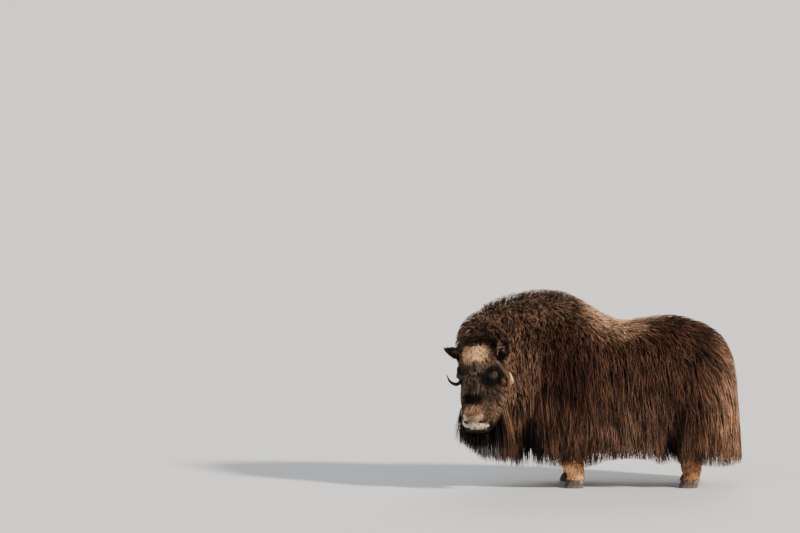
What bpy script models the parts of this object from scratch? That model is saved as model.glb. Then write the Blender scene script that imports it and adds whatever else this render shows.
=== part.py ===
"""A young muskox cow, life size, standing with its head turned to its left.

The body faces -X with its left side at -Y. The solids give the outline of the coat, out to its tips.
Body, neck and head are lofted as overlapping shapes, melted into one form, and parted by thin cuts.
"""

import math

import bmesh
import bpy
import numpy as np
from mathutils import Matrix, Vector

# Driving dimensions, in metres
CUT_GAP = 0.0003
FOOT_SPREAD = 0.165
LEG_TOP = 0.30
HOOF_HEIGHT = 0.046
EYE_RADIUS = 0.019

# The melted surface: cell size, rounds of smoothing on the face and elsewhere, and share of faces kept
CELL = 0.0085
FACE_ROUNDS = 3
PLAIN_ROUNDS = 40
FINE_SHARE = 0.0295
FACE_MIDDLE = (0, 0.22, 0)
FACE_REACH = 0.24
FACE_BLEND = 0.14
SHARP_ANGLE = math.radians(40)

# The head's own frame: poll, turn of the face from -Y towards -X, dip of the face and sideways tilt
POLL = Vector((-0.650, -0.250, 0.796))
FACE_TURN = math.radians(26)
FACE_DIP = math.radians(73.5)
HEAD_TILT = math.radians(4.5)

# Line of the back, side to side width and lower edge of the skirt, as (place along the body, size)
BACK_LINE = [
    (-0.545, 0.94), (-0.45, 1.092), (-0.40, 1.110), (-0.33, 1.120), (-0.20, 1.114), (-0.07, 1.055),
    (0.08, 0.966), (0.165, 0.945), (0.30, 0.968), (0.45, 0.977), (0.60, 0.938), (0.70, 0.884),
    (0.765, 0.800), (0.800, 0.70), (0.822, 0.50), (0.846, 0.17),
]
HALF_WIDTH = [
    (-0.545, 0.075), (-0.50, 0.175), (-0.42, 0.235), (-0.28, 0.272), (0.0, 0.290), (0.25, 0.298),
    (0.42, 0.286), (0.55, 0.276), (0.65, 0.262), (0.74, 0.228), (0.80, 0.180), (0.83, 0.125), (0.846, 0.060),
]
SKIRT_EDGE = [
    (-0.545, 0.20), (-0.40, 0.130), (-0.25, 0.118), (-0.05, 0.112), (0.05, 0.150), (0.16, 0.168),
    (0.28, 0.165), (0.40, 0.122), (0.60, 0.120), (0.75, 0.108), (0.846, 0.108),
]
BELLY_RISE = 0.075
FULL_HALF_WIDTH = 0.25

# The trunk's slice: height of its widest place, roll of the skirt's edge, and how far the skirt stands out
WIDEST_SHARE = 0.50
EDGE_ROLL = 0.045
SKIRT_FLARE = 0.02

# Horizontal rings of the neck and mane: height, front end, rear end, half width, sideways shift
NECK_RINGS = [
    (0.100, -0.460, -0.20, 0.110, -0.040),
    (0.130, -0.545, -0.18, 0.160, -0.040),
    (0.220, -0.655, -0.14, 0.220, -0.025),
    (0.420, -0.715, -0.12, 0.245, -0.010),
    (0.620, -0.760, -0.12, 0.250, -0.006),
    (0.780, -0.797, -0.14, 0.240, -0.020),
    (0.880, -0.784, -0.16, 0.222, -0.030),
    (0.960, -0.732, -0.18, 0.190, -0.028),
    (1.020, -0.672, -0.20, 0.150, -0.018),
    (1.060, -0.592, -0.22, 0.105, -0.010),
    (1.095, -0.500, -0.26, 0.060, -0.005),
]

# Rings of the head: place from poll to nose, half width, reach to the brow side, reach to the jaw side
HEAD_RINGS = [
    (-0.085, 0.085, 0.040, -0.110),
    (-0.040, 0.122, 0.078, -0.140),
    (0.030, 0.134, 0.092, -0.165),
    (0.100, 0.131, 0.084, -0.178),
    (0.170, 0.124, 0.070, -0.176),
    (0.240, 0.117, 0.062, -0.162),
    (0.310, 0.110, 0.058, -0.144),
    (0.370, 0.106, 0.058, -0.126),
    (0.420, 0.099, 0.054, -0.108),
    (0.450, 0.082, 0.043, -0.088),
    (0.466, 0.044, 0.020, -0.058),
]

# Masses of the body on both sides: place and half sizes
THIGH = ((0.600, 0.150, 0.490), (0.215, 0.148, 0.350))
SHOULDER = ((-0.100, 0.150, 0.570), (0.225, 0.156, 0.420))
NAPE = ((-0.600, -0.130, 0.850), (0.170, 0.150, 0.120))
TAIL = ((0.786, 0.0, 0.590), (0.036, 0.042, 0.110))

# Small masses on the head: place (to its left, towards the nose, out of the brow), half sizes
BROW = ((0.100, 0.122, 0.040), (0.032, 0.040, 0.024))
NOSTRIL_WING = ((0.050, 0.420, 0.018), (0.036, 0.034, 0.030))
UPPER_LIP = ((0.0, 0.444, -0.018), (0.076, 0.028, 0.034))
CHIN = ((0.0, 0.412, -0.092), (0.060, 0.042, 0.030))
CHEEK = ((0.084, 0.235, -0.085), (0.062, 0.145, 0.080))
BEARD_RINGS = [
    (0.470, -0.645, -0.235, 0.104, 0.105),
    (0.380, -0.660, -0.265, 0.100, 0.105),
    (0.300, -0.656, -0.262, 0.094, 0.100),
    (0.235, -0.628, -0.234, 0.088, 0.094),
    (0.170, -0.575, -0.188, 0.066, 0.075),
    (0.140, -0.550, -0.172, 0.032, 0.040),
]

EYE_PLACE = (0.106, 0.150, 0.037)

# Horn line on the left side, as (to the left, towards the nose, out of the brow), and its radius along it
HORN_LINE = [
    (0.070, 0.045, 0.040), (0.112, 0.080, 0.014), (0.127, 0.113, -0.040), (0.142, 0.148, -0.070),
    (0.170, 0.180, -0.056), (0.195, 0.171, -0.020), (0.200, 0.136, 0.026),
]
HORN_RADIUS = [(0.0, 0.0245), (0.25, 0.0215), (0.5, 0.0165), (0.75, 0.0112), (0.9, 0.0072), (1.0, 0.0026)]

# Each ear: root and tip in the head's frame, the way that its hollow faces, and half width
EARS = {
    "ear_left": ((0.108, 0.048, 0.000), (0.188, -0.040, 0.060), (0.34, 0.35, 0.9), 0.050),
    "ear_right": ((-0.095, 0.036, -0.012), (-0.213, -0.010, 0.040), (0.10, 0.35, 1.0), 0.042),
}
EAR_THICKNESS = 0.009
EAR_CUP = 0.75

FRONT_FEET = (("front_left", -0.122, -1), ("front_right", -0.138, 1))
HIND_FEET = (("hind_left", 0.532, -1), ("hind_right", 0.548, 1))

# Lower legs: lean of the top, half sizes at the foot and at the top, and the waist at the pastern
LEG_LEAN = 0.055
LEG_FOOT = (0.064, 0.060)
LEG_SWELL = (0.014, 0.008)
PASTERN_PINCH = 0.16
LEG_IN_HOOF = 0.004

# Half hooves: length and width in front and behind, half outline of the sole, and (height, scale, set back)
FRONT_HOOF = (0.118, 0.050)
HIND_HOOF = (0.110, 0.046)
CLEFT = 0.003
SOLE = [
    (-0.50, 0.10), (-0.46, 0.52), (-0.30, 0.88), (-0.05, 1.0), (0.25, 0.94), (0.45, 0.72), (0.50, 0.30),
    (0.50, 0.0), (0.30, 0.0), (0.0, -0.02), (-0.30, 0.0),
]
HOOF_RINGS = ((0.0, 0.94, 0.0), (0.007, 1.0, 0.001), (0.030, 0.93, 0.007), (HOOF_HEIGHT, 0.80, 0.014))

# Places of the thin cuts that part the body
NECK_CUT_X = -0.295
NECK_CUT_LEAN = math.radians(7)
HEAD_CUT_POINT = Vector((-0.585, -0.155, 0.80))
HEAD_CUT_TURN = math.radians(30)
HEAD_CUT_LEAN = math.radians(14)
HEAD_CUT_FLOOR = 0.20
TAIL_BOX = ((0.745, -0.052, 0.50), (0.95, 0.052, 0.76))


def start_empty():
    """Clears the scene."""
    for old in list(bpy.data.objects):
        bpy.data.objects.remove(old, do_unlink=True)


def line_value(points, at):
    """The height at a place of a smooth line through (place, height) points, with no overshoot."""
    places = np.array([p[0] for p in points])
    values = np.array([p[1] for p in points])
    steps = np.diff(places)
    slopes = np.diff(values) / steps
    turns = np.zeros(len(places))
    turns[0], turns[-1] = slopes[0], slopes[-1]
    for i in range(1, len(places) - 1):
        if slopes[i - 1] * slopes[i] > 0:
            turns[i] = 2 * slopes[i - 1] * slopes[i] / (slopes[i - 1] + slopes[i])
    i = int(np.clip(np.searchsorted(places, at) - 1, 0, len(steps) - 1))
    t = np.clip((at - places[i]) / steps[i], 0, 1)
    rise = (1 + 2 * t) * (1 - t) ** 2 * values[i] + t * t * (3 - 2 * t) * values[i + 1]
    return float(rise + steps[i] * (t * (1 - t) ** 2 * turns[i] - t * t * (1 - t) * turns[i + 1]))


def head_frame():
    """Unit vectors of the head: to its left, from poll to nose, and out of the brow."""
    facing = Vector((-math.sin(FACE_TURN), -math.cos(FACE_TURN), 0))
    up = Vector((0, 0, 1))
    nose = math.cos(FACE_DIP) * facing - math.sin(FACE_DIP) * up
    brow = math.sin(FACE_DIP) * facing + math.cos(FACE_DIP) * up
    left = up.cross(facing)
    tilt = Matrix.Rotation(HEAD_TILT, 3, facing)
    return tilt @ left, tilt @ nose, tilt @ brow


LEFT, NOSE, BROW_WAY = head_frame()


def on_head(place):
    """A point given in the head's own frame, in the body's frame."""
    return POLL + place[0] * LEFT + place[1] * NOSE + place[2] * BROW_WAY


def material(name, colour, roughness):
    """A plain Principled BSDF of one colour."""
    made = bpy.data.materials.get(name) or bpy.data.materials.new(name)
    made.use_nodes = True
    shader = made.node_tree.nodes["Principled BSDF"]
    shader.inputs["Base Color"].default_value = (*colour, 1)
    shader.inputs["Roughness"].default_value = roughness
    shader.inputs["Metallic"].default_value = 0
    made.diffuse_color = (*colour, 1)
    return made


def node(name, bm, finish=None):
    """A new object with this mesh and finish."""
    mesh = bpy.data.meshes.new(name)
    bmesh.ops.recalc_face_normals(bm, faces=bm.faces)
    bm.to_mesh(mesh)
    bm.free()
    made = bpy.data.objects.new(name, mesh)
    bpy.context.scene.collection.objects.link(made)
    if finish:
        mesh.materials.append(finish)
    return made


def loft(rings):
    """A closed bmesh through rings of points that all have the same number of points."""
    bm = bmesh.new()
    loops = [[bm.verts.new(point) for point in ring] for ring in rings]
    count = len(loops[0])
    for low, high in zip(loops, loops[1:]):
        for i in range(count):
            j = (i + 1) % count
            bm.faces.new((low[i], low[j], high[j], high[i]))
    for end in (loops[0], loops[-1]):
        middle = bm.verts.new(sum((v.co for v in end), Vector()) / count)
        for i in range(count):
            bm.faces.new((end[i], end[(i + 1) % count], middle))
    return bm


def ellipse_ring(centre, half_a, half_b, axis_a, axis_b, count, power=2.0):
    """Points of a rounded oval. A power over 2 fills out its corners."""
    ring = []
    for i in range(count):
        angle = 2 * math.pi * i / count
        c, s = math.cos(angle), math.sin(angle)
        a = half_a * math.copysign(abs(c) ** (2 / power), c)
        b = half_b * math.copysign(abs(s) ** (2 / power), s)
        ring.append(centre + a * axis_a + b * axis_b)
    return ring


def ellipsoid(centre, half_sizes, axes):
    """A closed bmesh of an ellipsoid along three axes."""
    bm = bmesh.new()
    bmesh.ops.create_icosphere(bm, subdivisions=4, radius=1.0)
    for v in bm.verts:
        v.co = centre + sum((v.co[i] * half_sizes[i] * axes[i] for i in range(3)), Vector())
    return bm


def trunk_ring(x):
    """One slice across the body: rounded back, hanging skirt and hollow underside."""
    top, half, edge = line_value(BACK_LINE, x), line_value(HALF_WIDTH, x), line_value(SKIRT_EDGE, x)
    widest = edge + WIDEST_SHARE * (top - edge)
    fold = min(EDGE_ROLL, 0.5 * half, 0.3 * (widest - edge))
    rise = BELLY_RISE * min(1.0, half / FULL_HALF_WIDTH)
    side = []
    for i in range(10):
        angle = math.pi / 2 * i / 9
        side.append((half * math.sin(angle) ** 0.95, widest + (top - widest) * math.cos(angle) ** 0.90))
    for i in range(1, 5):
        side.append((half * (1 + SKIRT_FLARE * i / 4), widest + (edge + fold - widest) * i / 4))
    outer = half * (1 + SKIRT_FLARE)
    for i in range(1, 5):
        angle = math.pi / 2 * i / 4
        side.append((outer - fold * (1 - math.cos(angle)), edge + fold * (1 - math.sin(angle))))
    for i in range(1, 5):
        share = i / 5
        side.append(((outer - fold) * (1 - share), edge + rise * math.sin(math.pi / 2 * share)))
    side.append((0.0, edge + rise))
    right = [Vector((x, y, z)) for y, z in side]
    left = [Vector((x, -y, z)) for y, z in side[1:-1]]
    return right + left[::-1]


def trunk_form():
    """Shoulders, barrel and rump with the skirt of long hair."""
    front, rear, count = BACK_LINE[0][0], BACK_LINE[-1][0], 40
    middle, reach = (front + rear) / 2, (rear - front) / 2
    places = [middle - reach * math.cos(math.pi * i / count) for i in range(count + 1)]
    return loft([trunk_ring(x) for x in places])


def between(rings, steps):
    """Rows blended smoothly between the given rows of numbers."""
    keys = [row[0] for row in rings]
    for i in range(steps + 1):
        key = keys[0] + (keys[-1] - keys[0]) * i / steps
        yield [key] + [
            line_value(sorted((row[0], row[c]) for row in rings), key) for c in range(1, len(rings[0]))
        ]


def neck_form():
    """Neck, nape and mane, as level rings from the mane's tips to the crest."""
    rings = []
    for height, front, rear, half, shift in between(NECK_RINGS, 26):
        centre = Vector(((front + rear) / 2, shift, height))
        long = (rear - front) / 2
        rings.append(ellipse_ring(centre, long, half, Vector((1, 0, 0)), Vector((0, 1, 0)), 36, 2.2))
    return loft(rings)


def beard_form():
    """Hair that hangs from the jaw and throat, as level rings."""
    across = Vector((LEFT.x, LEFT.y, 0)).normalized()
    along = Vector((-across.y, across.x, 0))
    rings = []
    for height, x, y, half_across, half_along in between(BEARD_RINGS, 12):
        rings.append(ellipse_ring(Vector((x, y, height)), half_across, half_along, across, along, 24))
    return loft(rings)


def head_form():
    """The head from poll to nose, as rings across its own axis."""
    rings = []
    for place, half, brow, jaw in between(HEAD_RINGS, 28):
        middle = on_head((0, place, (brow + jaw) / 2))
        rings.append(ellipse_ring(middle, half, (brow - jaw) / 2, LEFT, BROW_WAY, 32, 2.25))
    return loft(rings)


def mirrored(mass):
    """The same mass on the head's other side."""
    (a, b, c), sizes = mass
    return (-a, b, c), sizes


def whole_form():
    """Every overlapping shape of flesh and coat, melted into one surface."""
    axes = (LEFT, NOSE, BROW_WAY)
    shapes = [trunk_form(), neck_form(), beard_form(), head_form()]
    single = [UPPER_LIP, CHIN]
    paired = [BROW, NOSTRIL_WING, CHEEK]
    for place, sizes in single + paired + [mirrored(m) for m in paired]:
        shapes.append(ellipsoid(on_head(place), sizes, axes))
    level = (Vector((1, 0, 0)), Vector((0, 1, 0)), Vector((0, 0, 1)))
    for side in (-1, 1):
        for place, sizes in (THIGH, SHOULDER):
            shapes.append(ellipsoid(Vector((place[0], side * place[1], place[2])), sizes, level))
    for place, sizes in (NAPE, TAIL):
        shapes.append(ellipsoid(Vector(place), sizes, level))
    whole = bmesh.new()
    for shape in shapes:
        bmesh.ops.recalc_face_normals(shape, faces=shape.faces)
        piece = bpy.data.meshes.new("shape")
        shape.to_mesh(piece)
        shape.free()
        whole.from_mesh(piece)
        bpy.data.meshes.remove(piece)
    mesh = bpy.data.meshes.new("whole")
    whole.to_mesh(mesh)
    whole.free()
    made = bpy.data.objects.new("whole", mesh)
    bpy.context.scene.collection.objects.link(made)
    melt = made.modifiers.new("melt", "REMESH")
    melt.mode = "VOXEL"
    melt.voxel_size = CELL
    settle(made)
    mark_plain(made)
    for group, rounds in (("", FACE_ROUNDS), ("plain", PLAIN_ROUNDS)):
        soften = made.modifiers.new("soften", "SMOOTH")
        soften.factor = 0.5
        soften.iterations = rounds
        soften.vertex_group = group
    thin = made.modifiers.new("thin", "DECIMATE")
    thin.ratio = FINE_SHARE
    settle(made)
    return made


def mark_plain(obj):
    """A vertex group of all but the face, which is smoothed further."""
    group = obj.vertex_groups.new(name="plain")
    centre = on_head(FACE_MIDDLE)
    for v in obj.data.vertices:
        share = ((v.co - centre).length - FACE_REACH) / FACE_BLEND
        group.add([v.index], min(1.0, max(0.0, share)), "REPLACE")


def settle(obj):
    """Applies the object's modifiers to its mesh."""
    graph = bpy.context.evaluated_depsgraph_get()
    made = bpy.data.meshes.new_from_object(obj.evaluated_get(graph), depsgraph=graph)
    obj.modifiers.clear()
    old = obj.data
    obj.data = made
    bpy.data.meshes.remove(old)


def cut(obj, other, operation):
    """Applies one Boolean to obj."""
    step = obj.modifiers.new("cut", "BOOLEAN")
    step.operation = operation
    step.object = other
    step.solver = "EXACT"
    settle(obj)


def copy_of(obj, name, finish=None):
    """A copy with its own mesh."""
    made = obj.copy()
    made.data = obj.data.copy()
    made.name = name
    made.vertex_groups.clear()
    made.data.materials.clear()
    if finish:
        made.data.materials.append(finish)
    bpy.context.scene.collection.objects.link(made)
    return made


def helper_box(name, low, high, frame=None):
    """A box to cut with, which the build leaves out."""
    bm = bmesh.new()
    bmesh.ops.create_cube(bm, size=1.0)
    middle = [(a + b) / 2 for a, b in zip(low, high)]
    for v in bm.verts:
        v.co = Vector([middle[i] + v.co[i] * (high[i] - low[i]) for i in range(3)])
    if frame:
        bm.transform(frame)
    made = node(name, bm)
    made.hide_render = True
    made.display_type = "WIRE"
    return made


def grown(obj, by):
    """A copy of obj that is larger by a small margin all round, to cut with."""
    made = copy_of(obj, obj.name + "_grown")
    push = made.modifiers.new("push", "DISPLACE")
    push.strength = by
    push.mid_level = 0
    settle(made)
    made.hide_render = True
    made.display_type = "WIRE"
    return made


def part_body(whole, coat):
    """Parts the melted form into trunk, tail, neck and head."""
    far = 2.0
    gap = CUT_GAP / 2
    neck_frame = Matrix.Translation((NECK_CUT_X, 0, 0.55)) @ Matrix.Rotation(NECK_CUT_LEAN, 4, "Y")
    head_frame_matrix = (
        Matrix.Translation(HEAD_CUT_POINT)
        @ Matrix.Rotation(-HEAD_CUT_TURN, 4, "Z")
        @ Matrix.Rotation(HEAD_CUT_LEAN, 4, "X")
    )
    trunk = copy_of(whole, "trunk", coat)
    cut(trunk, helper_box("trunk_side", (gap, -far, -far), (far, far, far), neck_frame), "INTERSECT")
    low, high = TAIL_BOX
    tail = copy_of(trunk, "tail", coat)
    cut(tail, helper_box("tail_space", low, high), "INTERSECT")
    wider = [a - CUT_GAP for a in low], [b + CUT_GAP for b in high]
    cut(trunk, helper_box("tail_room", *wider), "DIFFERENCE")
    neck = copy_of(whole, "neck", coat)
    cut(neck, helper_box("neck_side", (-far, -far, -far), (-gap, far, far), neck_frame), "INTERSECT")
    head = copy_of(neck, "head", coat)
    floor = HEAD_CUT_FLOOR - HEAD_CUT_POINT.z
    low, high = (-far, -far, floor), (far, -gap, far)
    cut(head, helper_box("head_space", low, high, head_frame_matrix), "INTERSECT")
    wider = (-far, -far, floor - CUT_GAP), (far, gap, far)
    cut(neck, helper_box("head_room", *wider, head_frame_matrix), "DIFFERENCE")
    return trunk, tail, neck, head


def smooth_path(points, count):
    """Evenly counted points on a smooth curve through the given points."""
    keys = [Vector(p) for p in points]
    keys = [2 * keys[0] - keys[1]] + keys + [2 * keys[-1] - keys[-2]]
    spans = len(keys) - 3
    path = []
    for i in range(count + 1):
        place = spans * i / count
        k = min(int(place), spans - 1)
        t = place - k
        a, b, c, d = keys[k : k + 4]
        bend, twist = 2 * a - 5 * b + 4 * c - d, 3 * b - a - 3 * c + d
        path.append(0.5 * (2 * b + (c - a) * t + bend * t**2 + twist * t**3))
    return path


def horn(name, side, finish, sides=8, steps=15):
    """A horn of round section that thins to its tip."""
    path = smooth_path([on_head((side * a, b, c)) for a, b, c in HORN_LINE], steps)
    rings = []
    normal = BROW_WAY.copy()
    for i, point in enumerate(path):
        ahead = path[min(i + 1, steps)] - path[max(i - 1, 0)]
        ahead.normalize()
        normal = (normal - normal.dot(ahead) * ahead).normalized()
        radius = line_value(HORN_RADIUS, i / steps)
        rings.append(ellipse_ring(point, radius, radius, normal, ahead.cross(normal), sides))
    return node(name, loft(rings), finish)


def ear(name, finish, count=8, across=7):
    """A cupped leaf: each ring is a crescent with an outer and an inner side."""
    root, tip, faces, half_width = EARS[name]
    root, tip = on_head(root), on_head(tip)
    opening = on_head(faces) - POLL
    axis = (tip - root).normalized()
    opening = (opening - opening.dot(axis) * axis).normalized()
    across_way = axis.cross(opening)
    rings = []
    for i in range(count + 1):
        share = i / count
        half = max(half_width * (0.52 + 1.15 * share - 1.55 * share**2.2), EAR_THICKNESS / 2)
        depth = half * EAR_CUP * (1 - 0.5 * share)
        thick = EAR_THICKNESS * (1.25 - 0.75 * share)
        centre = root + axis * (tip - root).length * share
        outer, inner = [], []
        for j in range(across):
            angle = math.pi * (j / (across - 1) - 0.5)
            side = half * math.sin(angle)
            back = depth * (math.cos(angle) - 0.5)
            outer.append(centre + across_way * side - opening * (back + thick / 2))
            inner.append(centre + across_way * side * 0.80 - opening * (back - thick / 2))
        rings.append(outer + inner[::-1])
    return node(name, loft(rings), finish)


def leg(name, x, side, front, finish):
    """The lower leg in its stocking of short hair, up into the skirt."""
    rings = []
    lean = -LEG_LEAN if front else LEG_LEAN
    y = side * FOOT_SPREAD
    low = HOOF_HEIGHT - LEG_IN_HOOF
    for i in range(8):
        share = i / 7
        height = low + (LEG_TOP - low) * share
        pinch = 1 - PASTERN_PINCH * math.sin(math.pi * min(1.0, share * 2.2))
        centre = Vector((x + lean * share, y, height))
        half_x, half_y = ((a + b * share) * pinch for a, b in zip(LEG_FOOT, LEG_SWELL))
        rings.append(ellipse_ring(centre, half_x, half_y, Vector((1, 0, 0)), Vector((0, 1, 0)), 14, 2.3))
    return node(name, loft(rings), finish)


def hoof(name, x, y, toe_out, front, finish):
    """One half of a cloven hoof: a flat sole, a sloped wall and a rounded toe that points forward."""
    long, wide = FRONT_HOOF if front else HIND_HOOF
    rings = []
    for height, scale, back in HOOF_RINGS:
        ring = []
        for a, b in SOLE:
            across = toe_out * (CLEFT + b * wide * scale)
            ring.append(Vector((x + back + a * long * scale, y + across, height)))
        rings.append(ring)
    return node(name, loft(rings), finish)


def stand_on_origin():
    """Moves every node so that the origin is under the middle of the whole, on the floor."""
    bpy.context.view_layer.update()
    nodes = [o for o in bpy.context.scene.objects if not o.hide_render]
    points = np.array([v.co for o in nodes for v in o.data.vertices])
    low, high = points.min(axis=0), points.max(axis=0)
    shift = Matrix.Translation((-(low[0] + high[0]) / 2, -(low[1] + high[1]) / 2, -low[2]))
    for o in nodes:
        o.data.transform(shift)
        o.data.shade_smooth()
        o.data.set_sharp_from_angle(angle=SHARP_ANGLE)
    print("origin moved by", [round(v, 4) for v in shift.translation])


def build():
    """Makes every node of the muskox."""
    start_empty()
    coat = material("coat", (0.075, 0.045, 0.030), 0.75)
    stocking = material("stocking", (0.30, 0.19, 0.11), 0.75)
    keratin = material("horn", (0.13, 0.11, 0.09), 0.42)
    hoof_wall = material("hoof", (0.05, 0.045, 0.042), 0.5)
    dark_eye = material("eye", (0.02, 0.012, 0.008), 0.08)

    whole = whole_form()
    trunk, tail, neck, head = part_body(whole, coat)
    bpy.data.objects.remove(whole)

    eyes = []
    for side, name in ((1, "eye_left"), (-1, "eye_right")):
        place = on_head((side * EYE_PLACE[0], EYE_PLACE[1], EYE_PLACE[2]))
        ball = bmesh.new()
        bmesh.ops.create_icosphere(ball, subdivisions=2, radius=EYE_RADIUS)
        bmesh.ops.translate(ball, verts=ball.verts, vec=place)
        eyes.append(node(name, ball, dark_eye))
        socket = grown(eyes[-1], CUT_GAP)
        cut(head, socket, "DIFFERENCE")

    solid_head, solid_neck = grown(head, CUT_GAP), grown(neck, CUT_GAP)
    horns = [horn("horn_left", 1, keratin), horn("horn_right", -1, keratin)]
    ears = [ear(name, coat) for name in EARS]
    for piece in horns + ears:
        for solid in (solid_head, solid_neck, head):
            cut(piece, solid, "DIFFERENCE")
        keep_largest(piece)

    solid_trunk = grown(trunk, CUT_GAP)
    for feet, front in ((FRONT_FEET, True), (HIND_FEET, False)):
        for name, x, side in feet:
            limb = leg("leg_" + name, x, side, front, stocking)
            y = side * FOOT_SPREAD
            for half, toe_out in (("outer", side), ("inner", -side)):
                claw = hoof(f"hoof_{name}_{half}", x, y, toe_out, front, hoof_wall)
                cut(limb, grown(claw, CUT_GAP), "DIFFERENCE")
            cut(limb, solid_trunk, "DIFFERENCE")
            cut(limb, solid_neck, "DIFFERENCE")
            keep_largest(limb)
    stand_on_origin()


def keep_largest(obj):
    """Drops the scraps that a cut left, and keeps the largest body."""
    bm = bmesh.new()
    bm.from_mesh(obj.data)
    left_over = set(bm.verts)
    bodies = []
    while left_over:
        group, edge_of = set(), [left_over.pop()]
        while edge_of:
            v = edge_of.pop()
            group.add(v)
            for e in v.link_edges:
                w = e.other_vert(v)
                if w in left_over:
                    left_over.discard(w)
                    edge_of.append(w)
        bodies.append(group)
    largest = max(bodies, key=len)
    bmesh.ops.delete(bm, geom=[v for v in bm.verts if v not in largest], context="VERTS")
    bm.to_mesh(obj.data)
    bm.free()


build()
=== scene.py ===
# %% [markdown]
# # A young muskox, life size
# This lesson dresses the fixed frame of a standing muskox. Its solids reach out to the tips of the coat.
# Inside them goes one skin, and out of the skin grows a coat of some fifty thousand closed locks of hair.
# Eyes, horns and hooves are pieces of their own, because they stay hard and bare on the living animal.

# %% Load the frame
import math

import bpy
import numpy as np
from mathutils import Matrix, Vector
from mathutils.bvhtree import BVHTree
from mathutils.kdtree import KDTree


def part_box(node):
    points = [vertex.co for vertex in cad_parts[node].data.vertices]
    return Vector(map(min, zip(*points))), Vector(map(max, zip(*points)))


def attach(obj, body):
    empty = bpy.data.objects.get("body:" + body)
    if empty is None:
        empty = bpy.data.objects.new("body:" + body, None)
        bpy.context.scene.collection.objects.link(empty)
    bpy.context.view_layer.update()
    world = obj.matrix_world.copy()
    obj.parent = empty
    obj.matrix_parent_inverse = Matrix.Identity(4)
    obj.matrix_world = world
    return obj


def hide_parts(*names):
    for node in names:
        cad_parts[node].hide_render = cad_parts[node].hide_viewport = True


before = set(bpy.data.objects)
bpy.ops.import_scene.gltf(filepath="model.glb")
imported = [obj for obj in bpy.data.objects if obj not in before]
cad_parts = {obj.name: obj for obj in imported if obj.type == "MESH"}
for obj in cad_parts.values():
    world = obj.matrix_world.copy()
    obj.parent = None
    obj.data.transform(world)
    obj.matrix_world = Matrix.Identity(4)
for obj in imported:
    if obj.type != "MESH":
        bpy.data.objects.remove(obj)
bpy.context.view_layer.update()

rng = np.random.default_rng(20260)

# %% [markdown]
# The picture was taken from far off with a long lens, from a little above the animal's back.
# A point on the near front foot, seen at a known pixel, fixes where the camera aims, and one pixel is 5.7 mm.
# A camera could also be turned by eye until it fits, but a worked-out one stays right when the model changes.

# %% Camera
PHOTO_SIZE = (800, 533)
PIXEL = 0.0057
CAMERA_RISE = math.radians(6)
CAMERA_DISTANCE = 50.0
SENSOR_WIDTH = 36.0
FOOT_PIXEL = (595, 488)
FOOT_POINT = Vector((0.0075, -0.118, 0.0))

picture_up = Vector((0, math.sin(CAMERA_RISE), math.cos(CAMERA_RISE)))
towards_camera = Vector((0, -math.cos(CAMERA_RISE), math.sin(CAMERA_RISE)))
aim = FOOT_POINT + Vector((1, 0, 0)) * (PHOTO_SIZE[0] / 2 - FOOT_PIXEL[0]) * PIXEL
aim += picture_up * (FOOT_PIXEL[1] - PHOTO_SIZE[1] / 2) * PIXEL
bpy.ops.object.camera_add(
    location=aim + towards_camera * CAMERA_DISTANCE, rotation=(math.pi / 2 - CAMERA_RISE, 0, 0)
)
camera = bpy.context.object
camera.data.sensor_width = SENSOR_WIDTH
camera.data.lens = SENSOR_WIDTH * CAMERA_DISTANCE / (PHOTO_SIZE[0] * PIXEL)
camera.data.clip_end = 400
bpy.context.scene.camera = camera
print("camera lens", round(camera.data.lens, 1), "mm, aims at", [round(v, 3) for v in aim])

# %% [markdown]
# Shader nodes are wired in code by one small helper. It adds a node, sets its properties and fills its
# inputs with a number, a colour or another node's output. Everything below that has a finish uses it.

# %% Node helper
def put(tree, kind, inputs=None, **settings):
    """Adds a shader node. Inputs are given by name or number, as values or as sockets to link."""
    made = tree.nodes.new(kind)
    for key, value in settings.items():
        setattr(made, key, value)
    for key, value in (inputs or {}).items():
        socket = made.inputs[key]
        if isinstance(value, bpy.types.NodeSocket):
            tree.links.new(value, socket)
        else:
            socket.default_value = value
    return made


def mix_colour(tree, share, first, second, blend="MIX"):
    """The output of a colour mix."""
    node = put(tree, "ShaderNodeMix", {0: share, 6: first, 7: second}, data_type="RGBA", blend_type=blend)
    return node.outputs[2]


def math_node(tree, operation, first, second=0.0, clamp=False):
    """The output of one arithmetic step."""
    return put(tree, "ShaderNodeMath", {0: first, 1: second}, operation=operation, use_clamp=clamp).outputs[0]


def smooth_range(tree, value, low, high, to_low=0.0, to_high=1.0):
    """Maps a value smoothly from one range to another."""
    places = {"Value": value, "From Min": low, "From Max": high, "To Min": to_low, "To Max": to_high}
    return put(tree, "ShaderNodeMapRange", places, interpolation_type="SMOOTHSTEP").outputs[0]


def new_material(name):
    """An empty node material and its Principled shader, already wired to the output."""
    made = bpy.data.materials.new(name)
    made.use_nodes = True
    tree = made.node_tree
    tree.nodes.clear()
    shader = put(tree, "ShaderNodeBsdfPrincipled")
    put(tree, "ShaderNodeOutputMaterial", {"Surface": shader.outputs[0]})
    return made, tree, shader


print("node helpers are ready")

# %% [markdown]
# The stage is one pale floor, wide enough to fill the frame of a camera that looks almost level.
# A low warm lamp stands to the right and a little in front, where the light in the photo comes from.
# A pale surround, a weak lamp from the left and a soft one from behind keep the shaded sides readable.

# %% Stage and light
FLOOR_SIZE = 240.0
LAMP_DISTANCE = 5
SUN_FROM = Vector((0.80, -0.42, 0.50))
FILL_FROM = Vector((-0.60, -0.75, 0.35))
BACK_FROM = Vector((0.15, 0.85, 0.55))

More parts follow.
